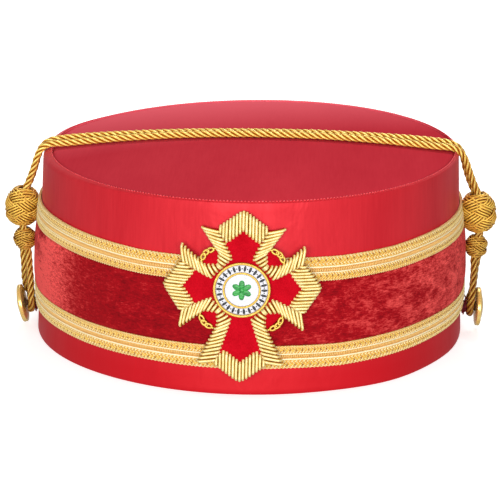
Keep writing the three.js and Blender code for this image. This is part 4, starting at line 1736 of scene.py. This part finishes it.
def makeSewing(row, material):
    shank = np.array([ovalAt(button["z"])[0], 0, 0])
    middle = np.array([0, button["y"] + crown["middle"], button["z"] + row["lift"]])
    share = np.linspace(0, 1, sewing["turns"] * sewing["perTurn"])
    turn = share * sewing["turns"] * full
    swell = 0.5 + 0.5 * np.sin(share * 11 + 0.5)
    radius = sewing["inner"] + (sewing["outer"] - sewing["inner"]) * swell * (1 - 0.5 * share)
    out = (0.12 + 0.88 * share + 0.04 * np.sin(turn * 0.5)) * sewing["reach"]
    winding = np.stack([out, radius * np.cos(turn), radius * np.sin(turn)], axis=1) + shank
    lines = [winding] + [smoothLine(np.array(end) * mm, 8) + shank for end in sewing["ends"]]
    sets = []
    for line in lines:
        line = line * (row["side"], 1, 1) + middle
        normals, _ = carriedNormals(line)
        sets.append(tubes(line[None], normals[None], sewing["thread"], 6))
    piece = pieceFromArrays(*joinArrays(sets))
    return nameAndFinish(piece, f"sewingThread{row['name'].capitalize()}", material, "red_felt")


def brassMaterial():
    material, tree, surface = newMaterial("buttonBrass", Metallic=0.6, Roughness=0.25)
    wearAndShade = noise(tree, objectPlace(tree), scale=260, detail=4)
    colour = ramp(tree, wearAndShade, *zip((0.3, 0.7), button["brass"]))
    tree.links.new(colour, surface.inputs["Base Color"])
    tree.links.new(rescale(tree, wearAndShade, 0.3, 0.7, 0.32, 0.16), surface.inputs["Roughness"])
    return material


# Putting it together

makeCamera()
makeStudio()
print("camera and studio set")

cordGold = cordMaterial("goldCord", cord["colours"], 0.4, 0.62, 0.84, 0.98)
knotGold = cordMaterial("knotGold", knot["colours"], 0.52, 0.68, 0.85, 0.99)
cordPiece, cordPath, cordLength = makeCord(cordGold)
knotPaintedShade = shadedMaterial("knotCore", *knot["core"])
knots = [makeKnot(kind, side, knotGold, knotPaintedShade) for side in (-1, 1) for kind in knotKinds]
print("cord and knots made")

makeWall(satinMaterial("wallSatin", satinWall))
makeTip(satinMaterial("tipSatin", satinTip))
makeSeam(threadMaterial("seamThread", *seamStitches["colours"]))
print("satin crown made")

makeVelvet(velvetMaterial())
ground, thread = braidGround(), braidMaterial()
for band in braids["bands"]:
    makeBraid(band, ground, thread)
print("velvet and braids made")

makeFelt(feltMaterial())
gold = wireMaterial("bullionGold", bullion["coil"], bullion["colours"])
purl = wireMaterial("purlGold", scroll["coil"], scroll["colours"])
for arm in cross["arms"]:
    makeTipChevron(arm, gold)
    makeBar(arm, -1, gold)
    makeBar(arm, 1, gold)
    makeScroll(arm, purl)
makeDisc(threadMaterial("whiteTwill", *roundel["twill"], 0.7))
for row in roundel["rings"]:
    makeRing(row, purl)
makeMarks(threadMaterial("blackThread", *roundel["black"]))
makeRosette(threadMaterial("greenThread", *roundel["green"]))
print("cross made")

brass = brassMaterial()
shankPaintedShade = shadedMaterial("shankPaintedShade", *button["shaded"])
sewingRed = threadMaterial("sewingRed", *sewing["colours"], 0.6)
for row in button["sides"]:
    makeButton(row, brass, shankPaintedShade)
    makeSewing(row, sewingRed)
print("buttons made")
